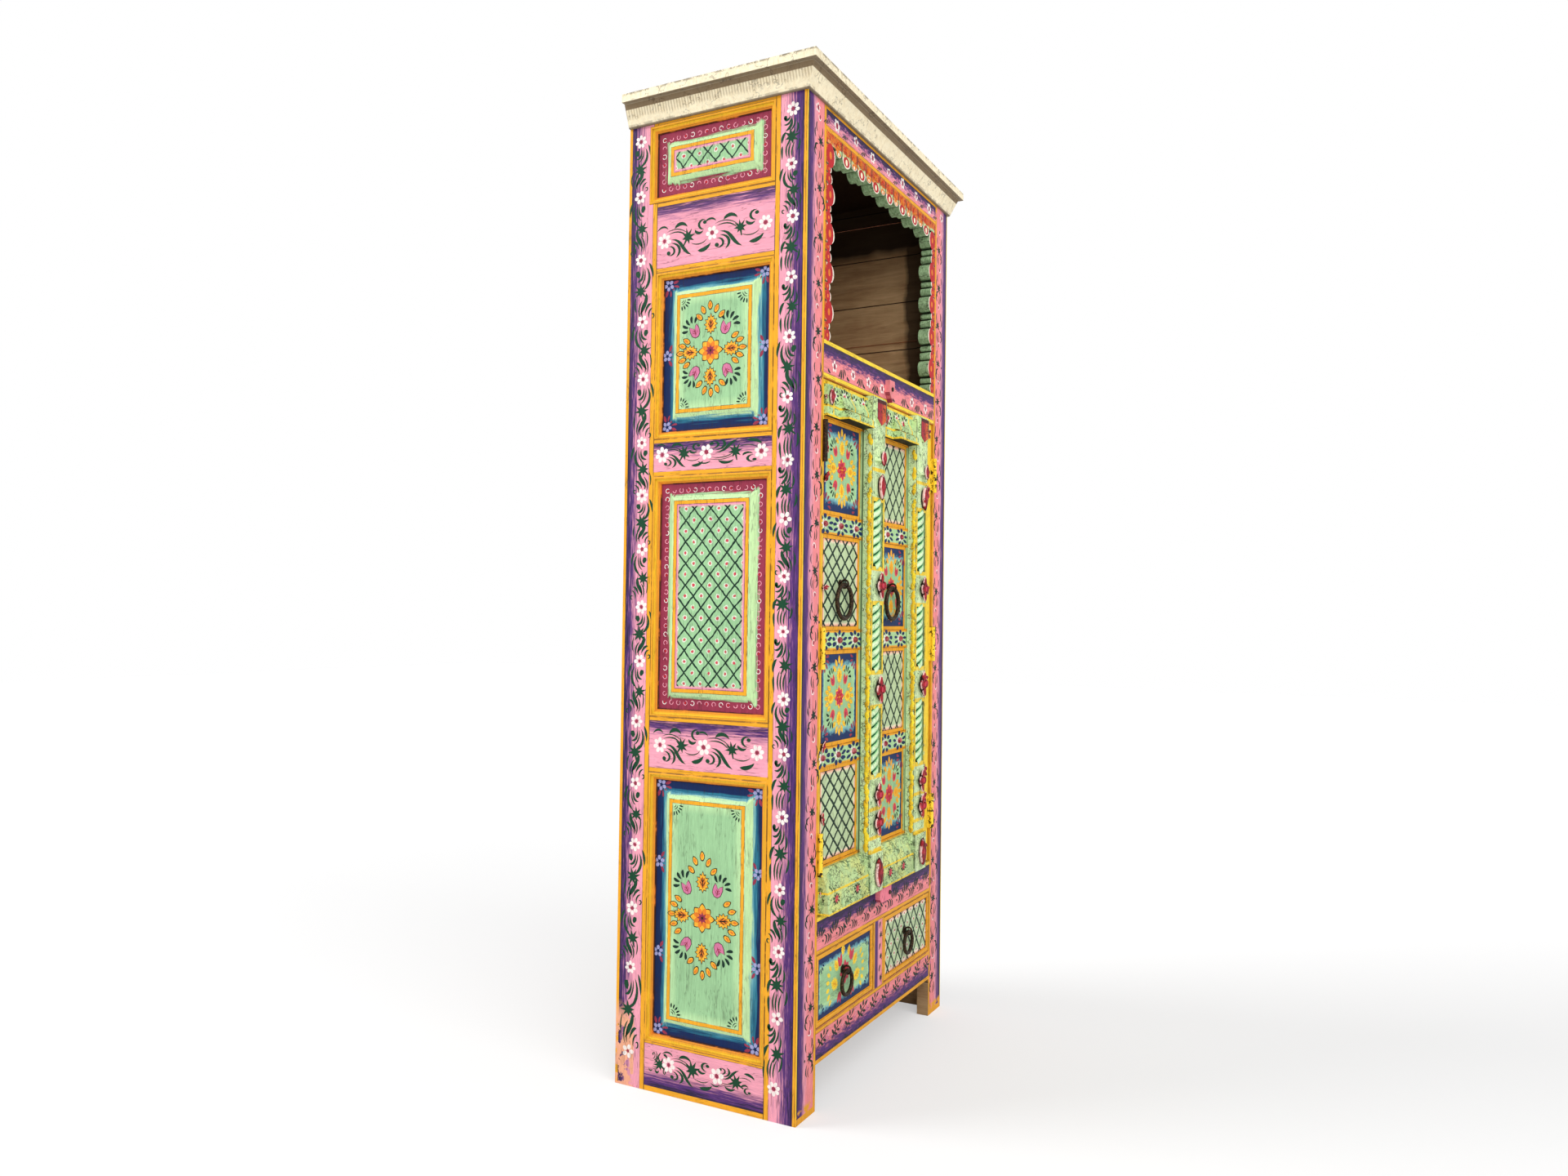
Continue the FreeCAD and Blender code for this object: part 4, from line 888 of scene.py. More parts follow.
class Face:
    # A painted plane: where it lies, which way is right and up on it
    def __init__(self, origin, right):
        self.origin, self.right, self.up = Vector(origin), Vector(right), Vector((0, 0, 1))
        self.normal = self.right.cross(self.up)

    def shifted(self, out):
        # The same plane, out millimetres further from the wood
        return Face(self.origin + self.normal * out * mm, self.right)

    def place(self, x, y, lift):
        return self.origin + self.right * x * mm + self.up * y * mm + self.normal * lift * mm

    def turn(self, angle):
        spin = Matrix.Rotation(math.radians(angle), 3, "Z")
        axes = Matrix([[self.right[i], self.up[i], self.normal[i]] for i in range(3)])
        return (axes @ spin).to_euler()


motifWear = {"leafGreen": 0.2, "inkGreen": 0.15, "white": 0.3, "ochre": 0.35, "yellow": 0.35, "pink": 0.2}
motifUnder = {"leafGreen": "pink", "inkGreen": "mint", "white": "pink", "ochre": "wood", "yellow": "wood"}
coats = {}


def coat(colour):
    # The brushed paint of one motif colour, made once
    if colour not in coats:
        coats[colour] = brushedMaterial(colour + "Motif", colour, Wear=motifWear.get(colour, 0), Streak=0.3,
                                        Age=0.15, Under=motifUnder.get(colour, "ink"))
    return coats[colour]


class Painting:
    # Collects dabs on one body and lays them all at the end
    def __init__(self, name, body, seed=1):
        self.name, self.body, self.seed, self.rows = name, body, seed, {}

    def dab(self, motif, colour, face, x, y, turn=0, size=1, tall=None, lift=0, steady=False):
        row = self.rows.setdefault((motif, colour, steady), [])
        row.append((face.place(x, y, lift), face.turn(turn), (size, size if tall is None else tall, 1)))

    def lay(self):
        meshes = []
        for number, ((motif, colour, steady), spots) in enumerate(self.rows.items()):
            mesh = bpy.data.meshes.new("spots")
            mesh.from_pydata([spot for spot, _, _ in spots], [], [])
            for name, column in (("turn", 1), ("stretch", 2)):
                data = mesh.attributes.new(name, "FLOAT_VECTOR", "POINT").data
                for item, spot in zip(data, spots):
                    item.vector = spot[column]
            host = bpy.data.objects.new("spots", mesh)
            shaky = 0 if steady else 1
            values = {"Motif": motifs[motif], "Paint": coat(colour), "Scale": mm,
                      "Wobble": math.radians(motifSettings["wobble"]) * shaky,
                      "Vary": motifSettings["vary"] * shaky, "Seed": self.seed + number}
            meshes.append(treeResult(host, placeMotifs, placeSockets, values))
        return joined(self.name, meshes, self.body)


def daisy(painting, face, x, y, number, size):
    kind = ("daisySeven", "daisySix", "daisySeven", "daisyFive")[number % 4]
    painting.dab(kind, "white", face, x, y, number * 37, size)
    painting.dab("dot", "maroon", face, x, y, number * 50, size * (0.95 if number % 3 else 0.8), lift=0.1)


def vine(painting, face, flowers, sprays, wide=1, span=102, size=1):
    # Flowers along a line with a spray of strokes from each to the next
    for number, (x, y) in enumerate(flowers):
        daisy(painting, face, x, y, number, size)
    for number, (start, end) in enumerate(zip(flowers, flowers[1:])):
        along = Vector(end) - Vector(start)
        upright = sprays[0].startswith("stile")
        heading = math.degrees(math.atan2(along.y, along.x)) + (90 if upright else 0)
        share = along.length / span
        kind = sprays[number % len(sprays)]
        stretch = (wide, share) if upright else (share, wide)
        painting.dab(kind, "leafGreen", face, start[0], start[1], heading, stretch[0], stretch[1])
        x, y = Vector(start) + along * 0.51
        painting.dab("leaf", "leafGreen", face, x + (3 if number % 2 else -2), y, 40 * (number % 3) - 30,
                     1.55 * (0.9 if number % 2 else 1), lift=0.02)


sideFaces = {
    "left": Face((-sidePlane, 0, 0), (0, -1, 0)),
    "right": Face((sidePlane, 0, 0), (0, 1, 0)),
}
backStileFlowers = [
    (193, 1909), (193, 1794), (189, 1664), (183, 1537.5), (179, 1420), (179.5, 1290.5), (177, 1183),
    (175, 1074.5), (174.5, 958), (176.5, 849), (181.5, 728), (182, 603.5), (181, 481), (185, 353.5),
    (187, 236), (190, 68.5)]
frontStileFlowers = [
    (-158, 1907.5), (-155.5, 1802.5), (-160, 1701.5), (-158, 1586), (-155.5, 1472.5), (-153.5, 1357.5),
    (-155.5, 1238), (-152, 1127), (-151, 1018), (-150.5, 914), (-153.5, 787), (-155.5, 684), (-153.5, 566),
    (-150.5, 431), (-149.5, 316), (-148, 192), (-143, 61)]
railFlowers = [
    [(132, 1695), (19.5, 1696), (-101, 1698.5)], [(129.5, 1263), (25.5, 1263), (-98.5, 1258)],
    [(124, 684), (22, 685.5), (-98, 683)], [(133, 60), (92, 59.5), (-18.5, 59.5), (-106, 62)]]


def paintSideVines(side):
    face = sideFaces[side]
    hand = -1 if side == "left" else 1
    painting = Painting(side + "_side_vines", "case", 11 if side == "left" else 29)
    for flowers, sprays in ((backStileFlowers, ("stileSpray", "stileSprayTwin")),
                            (frontStileFlowers, ("stileSprayCurled", "stileSprayTwin", "stileSprayCurled"))):
        vine(painting, face, [(hand * y, z) for y, z in flowers], sprays, span=104, wide=0.95, size=0.87)
    for number, flowers in enumerate(railFlowers):
        spots = sorted((hand * y, z) for y, z in flowers)
        narrow = {1: 0.74, 3: 0.86}.get(number, 1)
        if number == 3:
            vine(painting, face, spots[1:3], ("railSpray",), wide=narrow)
            for start, end in ((spots[0], spots[1]), (spots[2], spots[3])):
                painting.dab("railSprayTwin", "leafGreen", face, start[0], start[1], 0,
                             (end[0] - start[0]) / 104, narrow * 0.8)
                painting.dab("leaf", "leafGreen", face, (start[0] + end[0]) / 2, start[1] - 4, 60, 1.4)
        else:
            vine(painting, face, spots, ("railSpray", "railSprayTwin") if number == 1 else ("railSpray",),
                 wide=narrow)
    return painting.lay()


def medallion(painting, face, x, y, petals, heart, buds, ink, size=1, tall=1):
    # Eight-petalled flower with four blossoms, four tulips, teardrops and fans of short strokes
    def at(dx, dy):
        return x + dx * size, y + dy * size * tall

    def outlined(kind, colour, dx, dy, turn, grow, stretch=1, edge=1.14):
        painting.dab(kind, ink, face, *at(dx, dy), turn, size * grow * edge, size * grow * stretch * edge,
                     steady=True)
        painting.dab(kind, colour, face, *at(dx, dy), turn, size * grow, size * grow * stretch, lift=0.1,
                     steady=True)

    outlined("eightPetals", petals, 0, 0, 0, 1, edge=1.09)
    painting.dab("eightPetalsHeart", heart, face, x, y, 22, size * 1.2, lift=0.2)
    painting.dab("eightPetalsHeart", "maroon" if petals == "blossom" else heart, face, x, y, 0, size * 0.62,
                 lift=0.3)
    painting.dab("dot", ink, face, x, y, 0, size * 0.55, lift=0.4)
    for dx, dy, turn in ((0, 50, 0), (0, -49, 180), (-47, 0, 90), (47, 0, -90)):
        outlined("blossom", petals, dx, dy, turn, 0.98, 0.96, 1.15)
        painting.dab("blossom", heart, face, *at(dx, dy), turn, size * 0.5, size * 0.62, lift=0.2)
        painting.dab("veins", ink, face, *at(dx, dy), turn, size, size * 0.95, lift=0.3)
    drops = [(-27, 67, 50), (-18, 80, 28), (-2, 88, 2), (13, 80, -24), (25, 68, -46), (-26, -63, 130),
             (-13, -76, 155), (2, -81, 180), (16, -75, 205), (28, -64, 230), (-56, 23, 60), (-66, 14, 75),
             (-71, 0, 92), (-66, -14, 106), (-56, -24, 122), (56, 25, -60), (67, 15, -74), (73, 0, -90),
             (67, -14, -108), (57, -24, -124)]
    for dx, dy, turn in drops:
        outlined("teardrop", petals, dx, dy, turn, 1.0, edge=1.3)
        painting.dab("comma", heart, face, *at(dx, dy), turn, size * 0.75, size * 0.6, lift=0.2)
    for dx, dy, turn in ((-36, 40, 24), (34, 41, -14), (-36, -39, 150), (38, -40, 205)):
        outlined("tulip", buds, dx, dy, turn, 0.92, edge=1.12)
        painting.dab("veins", "maroon", face, *at(dx, dy - 2), turn, size * 0.9, size * 0.62, lift=0.2)
        painting.dab("fanOfFive", "inkGreen", face, *at(dx * 1.14, dy * 1.12),
                     turn + (18 if dx < 0 else -18) * (1 if dy > 0 else -1), size * 1.18)


def borderFlower(painting, face, x, y, outward):
    # Small lavender flower with dark red strokes on one side
    size = 1.25
    painting.dab("daisyFive", "lavender", face, x, y, outward, size * 0.62)
    painting.dab("dot", "navy", face, x, y, 0, size * 0.4, lift=0.1)
    for step in (-62, -32, 0, 32, 62):
        angle = math.radians(outward + step)
        painting.dab("teardrop" if step % 4 else "comma", "maroon", face, x + 14 * size * math.cos(angle),
                     y + 14 * size * math.sin(angle), outward + step - 90, size * 0.55, size * 0.7, lift=0.04)


# The panels' borders and fields lie a little behind the stiles
sideSettings = {"borderDepth": 10, "fieldDepth": 2, "sunInset": 60, "flowerInset": 25, "ringInset": 29,
                "ringPitch": 17}


def corners(left, right, low, high, inset):
    left, right, low, high = left + inset, right - inset, low + inset, high - inset
    return (left, low), (right, low), (right, high), (left, high)


def paintSidePanels(side):
    hand = -1 if side == "left" else 1
    painting = Painting(side + "_side_panel_flowers", "case", 5 if side == "left" else 17)
    border = sideFaces[side].shifted(-sideSettings["borderDepth"])
    field = sideFaces[side].shifted(-sideSettings["fieldDepth"])
    for number, (low, high, front, back) in enumerate(sidePanels):
        low, high = low * 1000, high * 1000
        left, right = sorted((hand * front * 1000, hand * back * 1000))
        middle, centre = (left + right) / 2, (low + high) / 2
        if number in (0, 2):
            sunk, tall = (8, 1.36) if number == 0 else (0, 1.03)
            medallion(painting, field, middle - 6, centre - sunk, "blossom", "orange", "tulip", "ink", 1, tall)
            inset = sideSettings["sunInset"]
            for turn, (x, y) in zip((0, 90, 180, -90), corners(left, right, low, high, inset)):
                painting.dab("quarterSun", "inkGreen", field, x, y, turn, 1.05)
            inset = sideSettings["flowerInset"]
            for outward, (x, y) in zip((45, 135, -135, -45), corners(left, right, low, high, inset)):
                borderFlower(painting, border, x, y, outward)
            sides = (centre,) if number == 2 else (low + (high - low) / 3, low + (high - low) * 2 / 3)
            for y in sides:
                borderFlower(painting, border, left + inset - 2, y, 0)
                borderFlower(painting, border, right - inset + 2, y, 180)
        else:
            inset, pitch = sideSettings["ringInset"], sideSettings["ringPitch"]
            wide, tall = right - left - 2 * inset, high - low - 2 * inset
            for reach, upright in ((wide, False), (tall, True)):
                count = round(reach / pitch)
                for i in range(1 if upright else 0, count if upright else count + 1):
                    step = reach * i / count
                    for far in (0, 1):
                        dx, dy = (far * wide, step) if upright else (step, far * tall)
                        x, y = left + inset + dx, low + inset + dy
                        kind = "ring" if (i * 7 + far * 3) % 5 else "crescent"
                        painting.dab(kind, "pink" if i % 4 else "white", border, x, y, 40 * i)
                        if i % 3 == 0:
                            painting.dab("dot", "red", border, x, y, 0, 0.42)
    return painting.lay()


for side in ("left", "right"):
    paintSideVines(side)
    paintSidePanels(side)
print("sides painted")


# Door leaves and drawers
doorSettings = {
    "zones": ((458, 649.5), (686.5, 878), (915, 1106.5), (1143.5, 1335)),
    "leftColumn": (-286.6, -105), "rightColumn": (-14, 148.6),
    "leftBlue": (1, 3), "rightBlue": (0, 2), "border": 9, "leftLattice": (39, 34.5), "rightLattice": (36, 44),
    "railLevels": (668, 896.5, 1125), "leftBursts": (-275, -204, -130), "rightBursts": (36, 116),
    "hoodLevel": 1379, "footLevel": 394, "leftFeet": (-248, -150), "rightFeet": (22, 96),
}
drawerSettings = {
    "low": 154.5, "high": 292.5, "left": (-298.5, -29.5), "right": (29.5, 298.5), "border": 11,
    "middle": -160, "heart": (-164, 228),
    "blossoms": ((52, 212, 70, 1), (44, 246, 40, 0.8), (14, 270, 8, 0.6)),
}


def edgeDepth(across, up, left, right, low, high, border=0, narrow=1, broad=1):
    # Distance in from the edges of one flat panel, in millimetres; past the border the sides may count for more
    side = (across * -1 + right * mm).low(across - left * mm) * 1000 - border
    top = (up * -1 + high * mm).low(up - low * mm) * 1000 - border
    return (side * narrow).low(top * broad) + border


def rimmed(tree, tone, depth, border):
    # An ochre rim with dark broken creases at both its edges
    crease = (depth - border - 0.4).size().low((depth - 0.6).size()).below(0.6, 0.7)
    crease = crease * noise(objectPlace(tree), 40, 3).above(0.4, 0.15) * 0.85
    return layered(tone, (depth.below(border, 0.8), "ochre"), (crease, "ink"))


def bluePanel(tree, depth, border, soft):
    # Ochre line, blue feathered into mint
    rough = (noise(stretched(objectPlace(tree), (1, 1, 1)), 90, 4, 0.75) - 0.5) * 20
    line = border / 60
    tone = ramp((soft + rough * soft.above(border + 5, 5)) / 60, [
        (line, "royal"), (line + 0.14, "royal"), (line + 0.22, "sky"), (line + 0.31, paint(176, 218, 160)),
        (line + 0.5, "mint")])
    return rimmed(tree, tone, depth, border)


def latticePanel(tree, depth, border, across, up, wide, tall, dotSize=0):
    # Ochre line, a salmon fringe and a ruled lattice on pale green
    rough = (noise(stretched(objectPlace(tree), (1, 1, 1)), 110, 3, 0.7) - 0.5) * 9
    line = border / 60
    tone = ramp((depth + rough * depth.above(border + 2, 2)) / 60, [
        (line, "salmon"), (line + 0.05, paint(246, 188, 158)), (line + 0.1, paint(240, 224, 196)),
        (line + 0.17, "panelGreen")])
    drawn = useGroup(tree, lattice, Across=across, Up=up, Wide=wide * mm, Tall=tall * mm, Line=0.0048,
                     Waver=0.05, Dot=dotSize * mm if dotSize else 0.0001)
    if dotSize:
        tone = layered(tone, (drawn["Rings"], "white"), (drawn["Dots"], "red"))
    return rimmed(tree, mixed(drawn["Lines"], tone, "inkGreen"), depth, border)


def doorPanelTone(side, tree):
    across, _, up = objectAxes(tree)
    edges = doorSettings[side + "Column"]
    zones, border = doorSettings["zones"], doorSettings["border"]
    blueZones = [zones[number] for number in doorSettings[side + "Blue"]]

    def depth(chosen, *settings):
        return strongest(edgeDepth(across, up, *edges, *zone, *settings) for zone in chosen)

    isBlue = strongest(up.above(low * mm, mm) * up.below(high * mm, mm) for low, high in blueZones)
    plain = latticePanel(tree, depth([zone for zone in zones if zone not in blueZones]), border, across, up,
                         *doorSettings[side + "Lattice"])
    blue = bluePanel(tree, depth(blueZones), border, depth(blueZones, border, 1.5, 0.6))
    return mixed(objectNormal(tree)[1].above(0.5, 0.1), mixed(isBlue, plain, blue), "wood")


def drawerTone(side, tree):
    across, deep, up = objectAxes(tree)
    edges = (across, up, *drawerSettings[side], drawerSettings["low"], drawerSettings["high"])
    border = drawerSettings["border"]
    if side == "left":
        tone = bluePanel(tree, edgeDepth(*edges), border, edgeDepth(*edges, border, 2, 0.9))
    else:
        tone = latticePanel(tree, edgeDepth(*edges), border, across, up, 38, 50, 5)
    return mixed(deep.above(frontPlane + 12 * mm, 4 * mm), tone, "wood")


def doorFrameTone(tree):
    # Mint rails with thin yellow lines, yellow outer strips, painted shade on the strip beside each pilaster,
    # bare wood behind
    across, deep, up = objectAxes(tree)
    tone = mixed(noise(objectPlace(tree), 18, 3).above(0.5, 0.5), "doorMint", "mint")
    for low, high in ((649.5, 686.5), (878, 915), (1106.5, 1143.5), (1335, 1407), (368, 458)):
        line = (up - low * mm).size().low((up - high * mm).size()).below(3.5 * mm, 1.5 * mm)
        tone = mixed(line, tone, "ochre")
    strip = across.size().above(286 * mm, 1.5 * mm).high(up.above(1399 * mm, 1.5 * mm))
    strip = strip.high(up.below(377 * mm, 2 * mm)).high(across.above(236 * mm, 3 * mm))
    # Painted shade on the frame strip between panel and pilaster
    shadeBesidePilaster = across.near(-99.5 * mm, 4.6 * mm, mm).high(across.near(152.5 * mm, 2 * mm, mm))
    return layered(tone, (strip, "yellow"), (shadeBesidePilaster * 0.85, paint(52, 62, 36)),
                   (deep.above(frontPlane + 9 * mm, mm), "wood"))


def buttonTone(tree):
    # Rose, maroon at the lower tip of the upper button, and maroon painted shade on the faces that look down
    up = objectAxes(tree)[2]
    tip = up.below(1420 * mm, 3 * mm) * up.above(1.3, 0.1)
    base = mixed(up.below(0.5, 0.1), "rose", paint(240, 128, 146))
    # Painted shade on the faces that look down
    return mixed(tip.high(objectNormal(tree)[2].below(-0.5, 0.1) * 0.8), base, "maroon")


for side in ("left", "right"):
    assign(brushedMaterial(side + "DoorPanelPaint", partial(doorPanelTone, side), Wear=0.2, Streak=0.2),
           side + "_door_panels")
    assign(brushedMaterial(side + "DrawerPaint", partial(drawerTone, side), "across", Wear=0.35, Streak=0.25),
           side + "_drawer_front")
assignBoth(brushedMaterial("doorFramePaint", doorFrameTone, Wear=0.4, Streak=0.25), "door_frame")
assign(brushedMaterial("buttonPaint", buttonTone, Wear=0.4), "top_turn_button", "low_turn_button")
print("doors and drawers dressed")


# Carved work on the door leaves
carvingSettings = {
    "leftPilaster": -61, "rightPilaster": 189.6, "front": -204.5, "halfWidth": 33,
    "ropes": ((614, 751), (832, 969), (1050, 1187)), "rosettes": (512.75, 571, 791.5, 1009.5),
    "strandRadius": 8.4, "turnRadius": 16.3, "flatten": 0.5, "turns": 2.5,
    "beadPitch": 24, "topPitch": 40, "beadLow": 470, "beadHigh": 1322,
    "hoodBars": (-259, -176, -112, 4, 66, 134),
    "leftPetals": (-280.5, 0.3, 0.8, (1376, 1276, 1216, 1000, 690, 552, 402)),
    "rightPetals": (262, 0.8, 1.1, (1380, 1290, 1240, 1010, 800, 585, 520, 410)),
    "leftHood": ((-274, 1.1),), "rightHood": ((-5, 1.1), (88, 0.6)), "hoodLevel": 1373, "topPitchLow": 1180,
    "petals": (("redPetal", 3, 1218, 0, 1.1, 1.22, 0), ("lowPetal", 3, 1278, 0, 1.3, 1.05, 7),
               ("redPetal", 2, 410, 180, 1.5, 1.35, 3)),
}


def mound(outline, steps):
    # A lump over an outline: steps are (share of the outline, height)
    count = len(outline)
    verts = [(x * share, y * share, height) for share, height in steps for x, y in outline]
    faces = [list(reversed(range(count)))]
    for a in range(0, (len(steps) - 1) * count, count):
        for i in range(count):
            j = (i + 1) % count
            faces.append([a + i, a + j, a + count + j, a + count + i])
    faces.append([(len(steps) - 1) * count + i for i in range(count)])
    return verts, faces


def roundMotif(name, verts, faces, smooth=True):
    mesh = bpy.data.meshes.new(name)
    mesh.from_pydata(verts, [], faces)
    if smooth:
        mesh.shade_smooth()
    motifs[name] = bpy.data.objects.new("motif_" + name, mesh)
    return mesh


def carvedMotif(name, verts, faces, carve):
    # The attribute carve holds how far out and how far across a petal; more than 1 out is the underside
    data = roundMotif(name, verts, faces).attributes.new("carve", "FLOAT_COLOR", "POINT").data
    for item, (far, across) in zip(data, carve):
        item.color = (far, across, 0, 1)


def makeFlareMotif(name, petals, radius, rise):
    # A cupped flower on a narrow foot: pointed petals round a knob
    rings = ((0.2, 1, 0.1), (0.32, 0.72, 0.3), (0.6, 0.96, 0.55), (0.86, 0.9, 0.8), (1, 0.7, 1),
             (0.9, 0.52, 1.3), (0.5, -0.04, 1.4))
    count = petals * 8
    verts, carve = [(0, 0, rise * 0.94)], [(0, 1)]
    for share, height, far in rings:
        for i in range(count):
            angle = math.pi / 2 + 2 * math.pi * i / count
            wave = abs(math.cos(petals * math.pi * i / count))
            reach = radius * share * (0.5 + 0.5 * wave ** 1.3 if share > 0.45 else 0.85)
            lift = rise * height * (0.7 + 0.3 * wave ** 0.5 if 0.4 < share and height > 0 else 1)
            verts.append((reach * math.cos(angle), reach * math.sin(angle), lift))
            carve.append((far, wave))
    faces = [[0, 1 + i, 1 + (i + 1) % count] for i in range(count)]
    for ring in range(len(rings) - 1):
        a, b = 1 + ring * count, 1 + (ring + 1) * count
        faces += [[a + i, b + i, b + (i + 1) % count, a + (i + 1) % count] for i in range(count)]
    faces.append([1 + (len(rings) - 1) * count + i for i in reversed(range(count))])
    carvedMotif(name, verts, faces, carve)


def makePetalMotif(name, wide, tall, rise):
    # A carved petal that points down on a narrower foot; the paint darkens its middle as painted shade of a
    # crease
    outline = [(-x, -y) for x, y in drop(0, 0, wide, tall)]
    steps = ((0.7, -0.5), (1, rise * 0.6), (0.94, rise * 0.78), (0.7, rise * 0.94), (0.35, rise),
             (0.05, rise * 0.92))
    outward = [1.4] + [share for share, _ in steps[1:]]
    carve = [(far, min(1, abs(x) / wide * 5)) for far in outward for x, _ in outline]
    carvedMotif(name, *mound(outline, steps), carve)


flameOutline = [(-2, -15), (3, -12), (6.5, -6), (4, -1), (7, 5), (4, 11), (0, 16), (-4, 11), (-3, 5), (-7, -1),
                (-6, -9)]
lotusOutline = [(0, 13), (3, 6), (7, 8), (6, 2), (10.5, 1), (7.5, -4), (9, -9), (3, -8), (0, -13), (-3, -8),
                (-9, -9), (-7.5, -4), (-10.5, 1), (-6, 2), (-7, 8), (-3, 6)]
makePetalMotif("redPetal", 22, 46, 12)
makePetalMotif("lowPetal", 18, 32, 7)
makeFlareMotif("flareFour", 4, 30, 12)
makeFlareMotif("flareFive", 5, 19, 8)
roundMotif("boss", *mound(egg(0, 0, 15, 15, 0, 12), ((1, -0.5), (0.98, 2), (0.75, 4.4), (0.4, 5.6), (0.05, 6))))
for name, hand in (("flameBead", 1), ("flameBeadTwin", -1)):
    roundMotif(name, *mound([(x * hand, y) for x, y in flameOutline[::hand]],
                            ((1, -0.5), (0.94, 1.3), (0.6, 2.3), (0.1, 2.7))))
roundMotif("lotusRelief", *mound(lotusOutline, ((1, -0.3), (0.96, 0.8), (0.6, 1.6), (0.1, 1.9))), smooth=False)


def carvedTone(tree):
    # Red carved flowers with thin pale rims, painted shade in the creases between and along the petals, and
    # painted shade on their undersides
    place = objectPlace(tree)
    far, across, _ = split(add(tree, "ShaderNodeAttribute", {}, "Color", attribute_name="carve"))
    rough = (noise(place, 120, 3, 0.7) - 0.5) * 0.35
    rim = (far + rough * 0.4).above(0.84, 0.04) * across.above(0.3, 0.2) * noise(place, 45, 2).above(0.42, 0.1)
    return layered(
        mixed(noise(place, 60, 2).above(0.5, 0.3), paint(134, 18, 30), paint(192, 50, 60)),
        # Painted shade in the creases between and along the petals
        ((across + rough * 0.5).below(0.4, 0.2) * far.above(0.25, 0.1) * 0.95, paint(50, 14, 18)),
        (noise(place, 90, 2, 0.6).near(0.5, 0.012, 0.01) * 0.8, paint(58, 14, 18)),
        # Pale rims, then painted shade on the undersides
        (rim, paint(244, 200, 196)), (far.above(1.15, 0.1), paint(44, 16, 20)),
        ((far + rough).below(0.14, 0.06), "crimson"))


def lumpyPaint(name, base, shade, size=40):
    # Thick uneven paint of two tones
    def tone(tree):
        lumps = noise(objectPlace(tree), size, 4, 0.65)
        return mixed(lumps.above(0.54, 0.2), base, shade), lumps
    return brushedMaterial(name, tone, (30, 30, 30), None, 0.6, 0.9, Wear=0.35, Streak=0.3, Age=0.4)


def pilasterOffset(across):
    # Distance from the middle of the nearer pilaster
    left, right = carvingSettings["leftPilaster"] * mm, carvingSettings["rightPilaster"] * mm
    return across - (across.above((left + right) / 2, mm) * (right - left) + left)


def ropeHighlightAndShade(tree):
    # Painted highlight: pale mint on the crests of the rope; painted shade: dark green between its strands
    place = objectPlace(tree)
    across, deep, _ = split(place)
    side = pilasterOffset(across)
    out = (deep - (carvingSettings["front"] + 10) * mm) / carvingSettings["flatten"]
    away = (side * side + out * out).op("SQRT") * 1000 + (noise(place, 110, 3, 0.7) - 0.5) * 4
    # Lighter further from the rope's axis: painted highlight on the crests, painted shade between the strands
    return ramp((away - carvingSettings["turnRadius"]) / carvingSettings["strandRadius"], [
        (0.2, "inkGreen"), (0.36, paint(36, 104, 66)), (0.56, paint(112, 184, 118)),
        (0.74, paint(190, 234, 172)), (0.95, paint(226, 248, 204))])


def pilasterTone(tree):
    # Mint post with yellow rims round its ropes and yellow bands, and dark green painted shade in the rope
    # channels
    place = objectPlace(tree)
    across, deep, up = split(place)
    lumps = noise(place, 45, 3, 0.6)
    rough = (noise(place, 60, 3) - 0.5) * 3 * mm
    offset = pilasterOffset(across)
    side = offset.size()
    ropes = [((low + high) / 2 * mm, (high - low) / 2 * mm) for low, high in carvingSettings["ropes"]]
    rim = strongest((up - middle).size().below(rough + (half + 9 * mm), 1.5 * mm) for middle, half in ropes)
    bands = strongest((up + rough).near(level * mm, 4 * mm, 1.5 * mm) for level in (1254, 542, 482, 455))
    # Painted shade in the rope channels, behind the ropes
    shadedChannel = strongest(up.near(middle, half - 0.3 * mm, 0.4 * mm) for middle, half in ropes)
    face = carvingSettings["front"]
    front = deep.below((face + 1.5) * mm, mm)
    streak = noise(stretched(place, (60, 60, 60)), 3, 4, 0.7).above(0.62, 0.06)
    cuts = noise(place, 42, 2, 0.6).near(0.49, 0.009, 0.008)
    edges = (side - 25 * mm).size().low((side - 32.6 * mm).size()).below(0.7 * mm, 0.8 * mm) * front
    proud = deep.below((face - 5) * mm, mm) * up.above(1344 * mm, mm) * side.below(24 * mm, mm)
    creases = noise(stretched(place, (1.4, 1, 0.8)), 55, 2, 0.6).near(0.49, 0.014, 0.012)
    red = layered(
        mixed(offset.above(rough + 4 * mm, 14 * mm), paint(172, 40, 54), paint(226, 104, 50)),
        (creases * 0.9, paint(70, 18, 24)),
        (side.above(rough * 0.4 + 21 * mm, mm).high(up.above(1394 * mm, 2 * mm)), paint(76, 22, 24)))
    tone = layered(
        mixed(lumps.above(0.5, 0.4), paint(204, 232, 166), paint(228, 248, 196)),
        (streak * 0.6, paint(96, 150, 100)), (cuts * 0.85, paint(78, 116, 70)),
        (rim.high(bands) * front * noise(place, 55, 3).above(0.33, 0.1), "yellow"),
        (edges * noise(place, 50, 3).above(0.42, 0.15) * 0.8, "inkGreen"),
        (shadedChannel * side.below(25 * mm, 0.3 * mm), paint(44, 104, 68)), (proud, red))
    return tone, lumps - cuts * 0.6


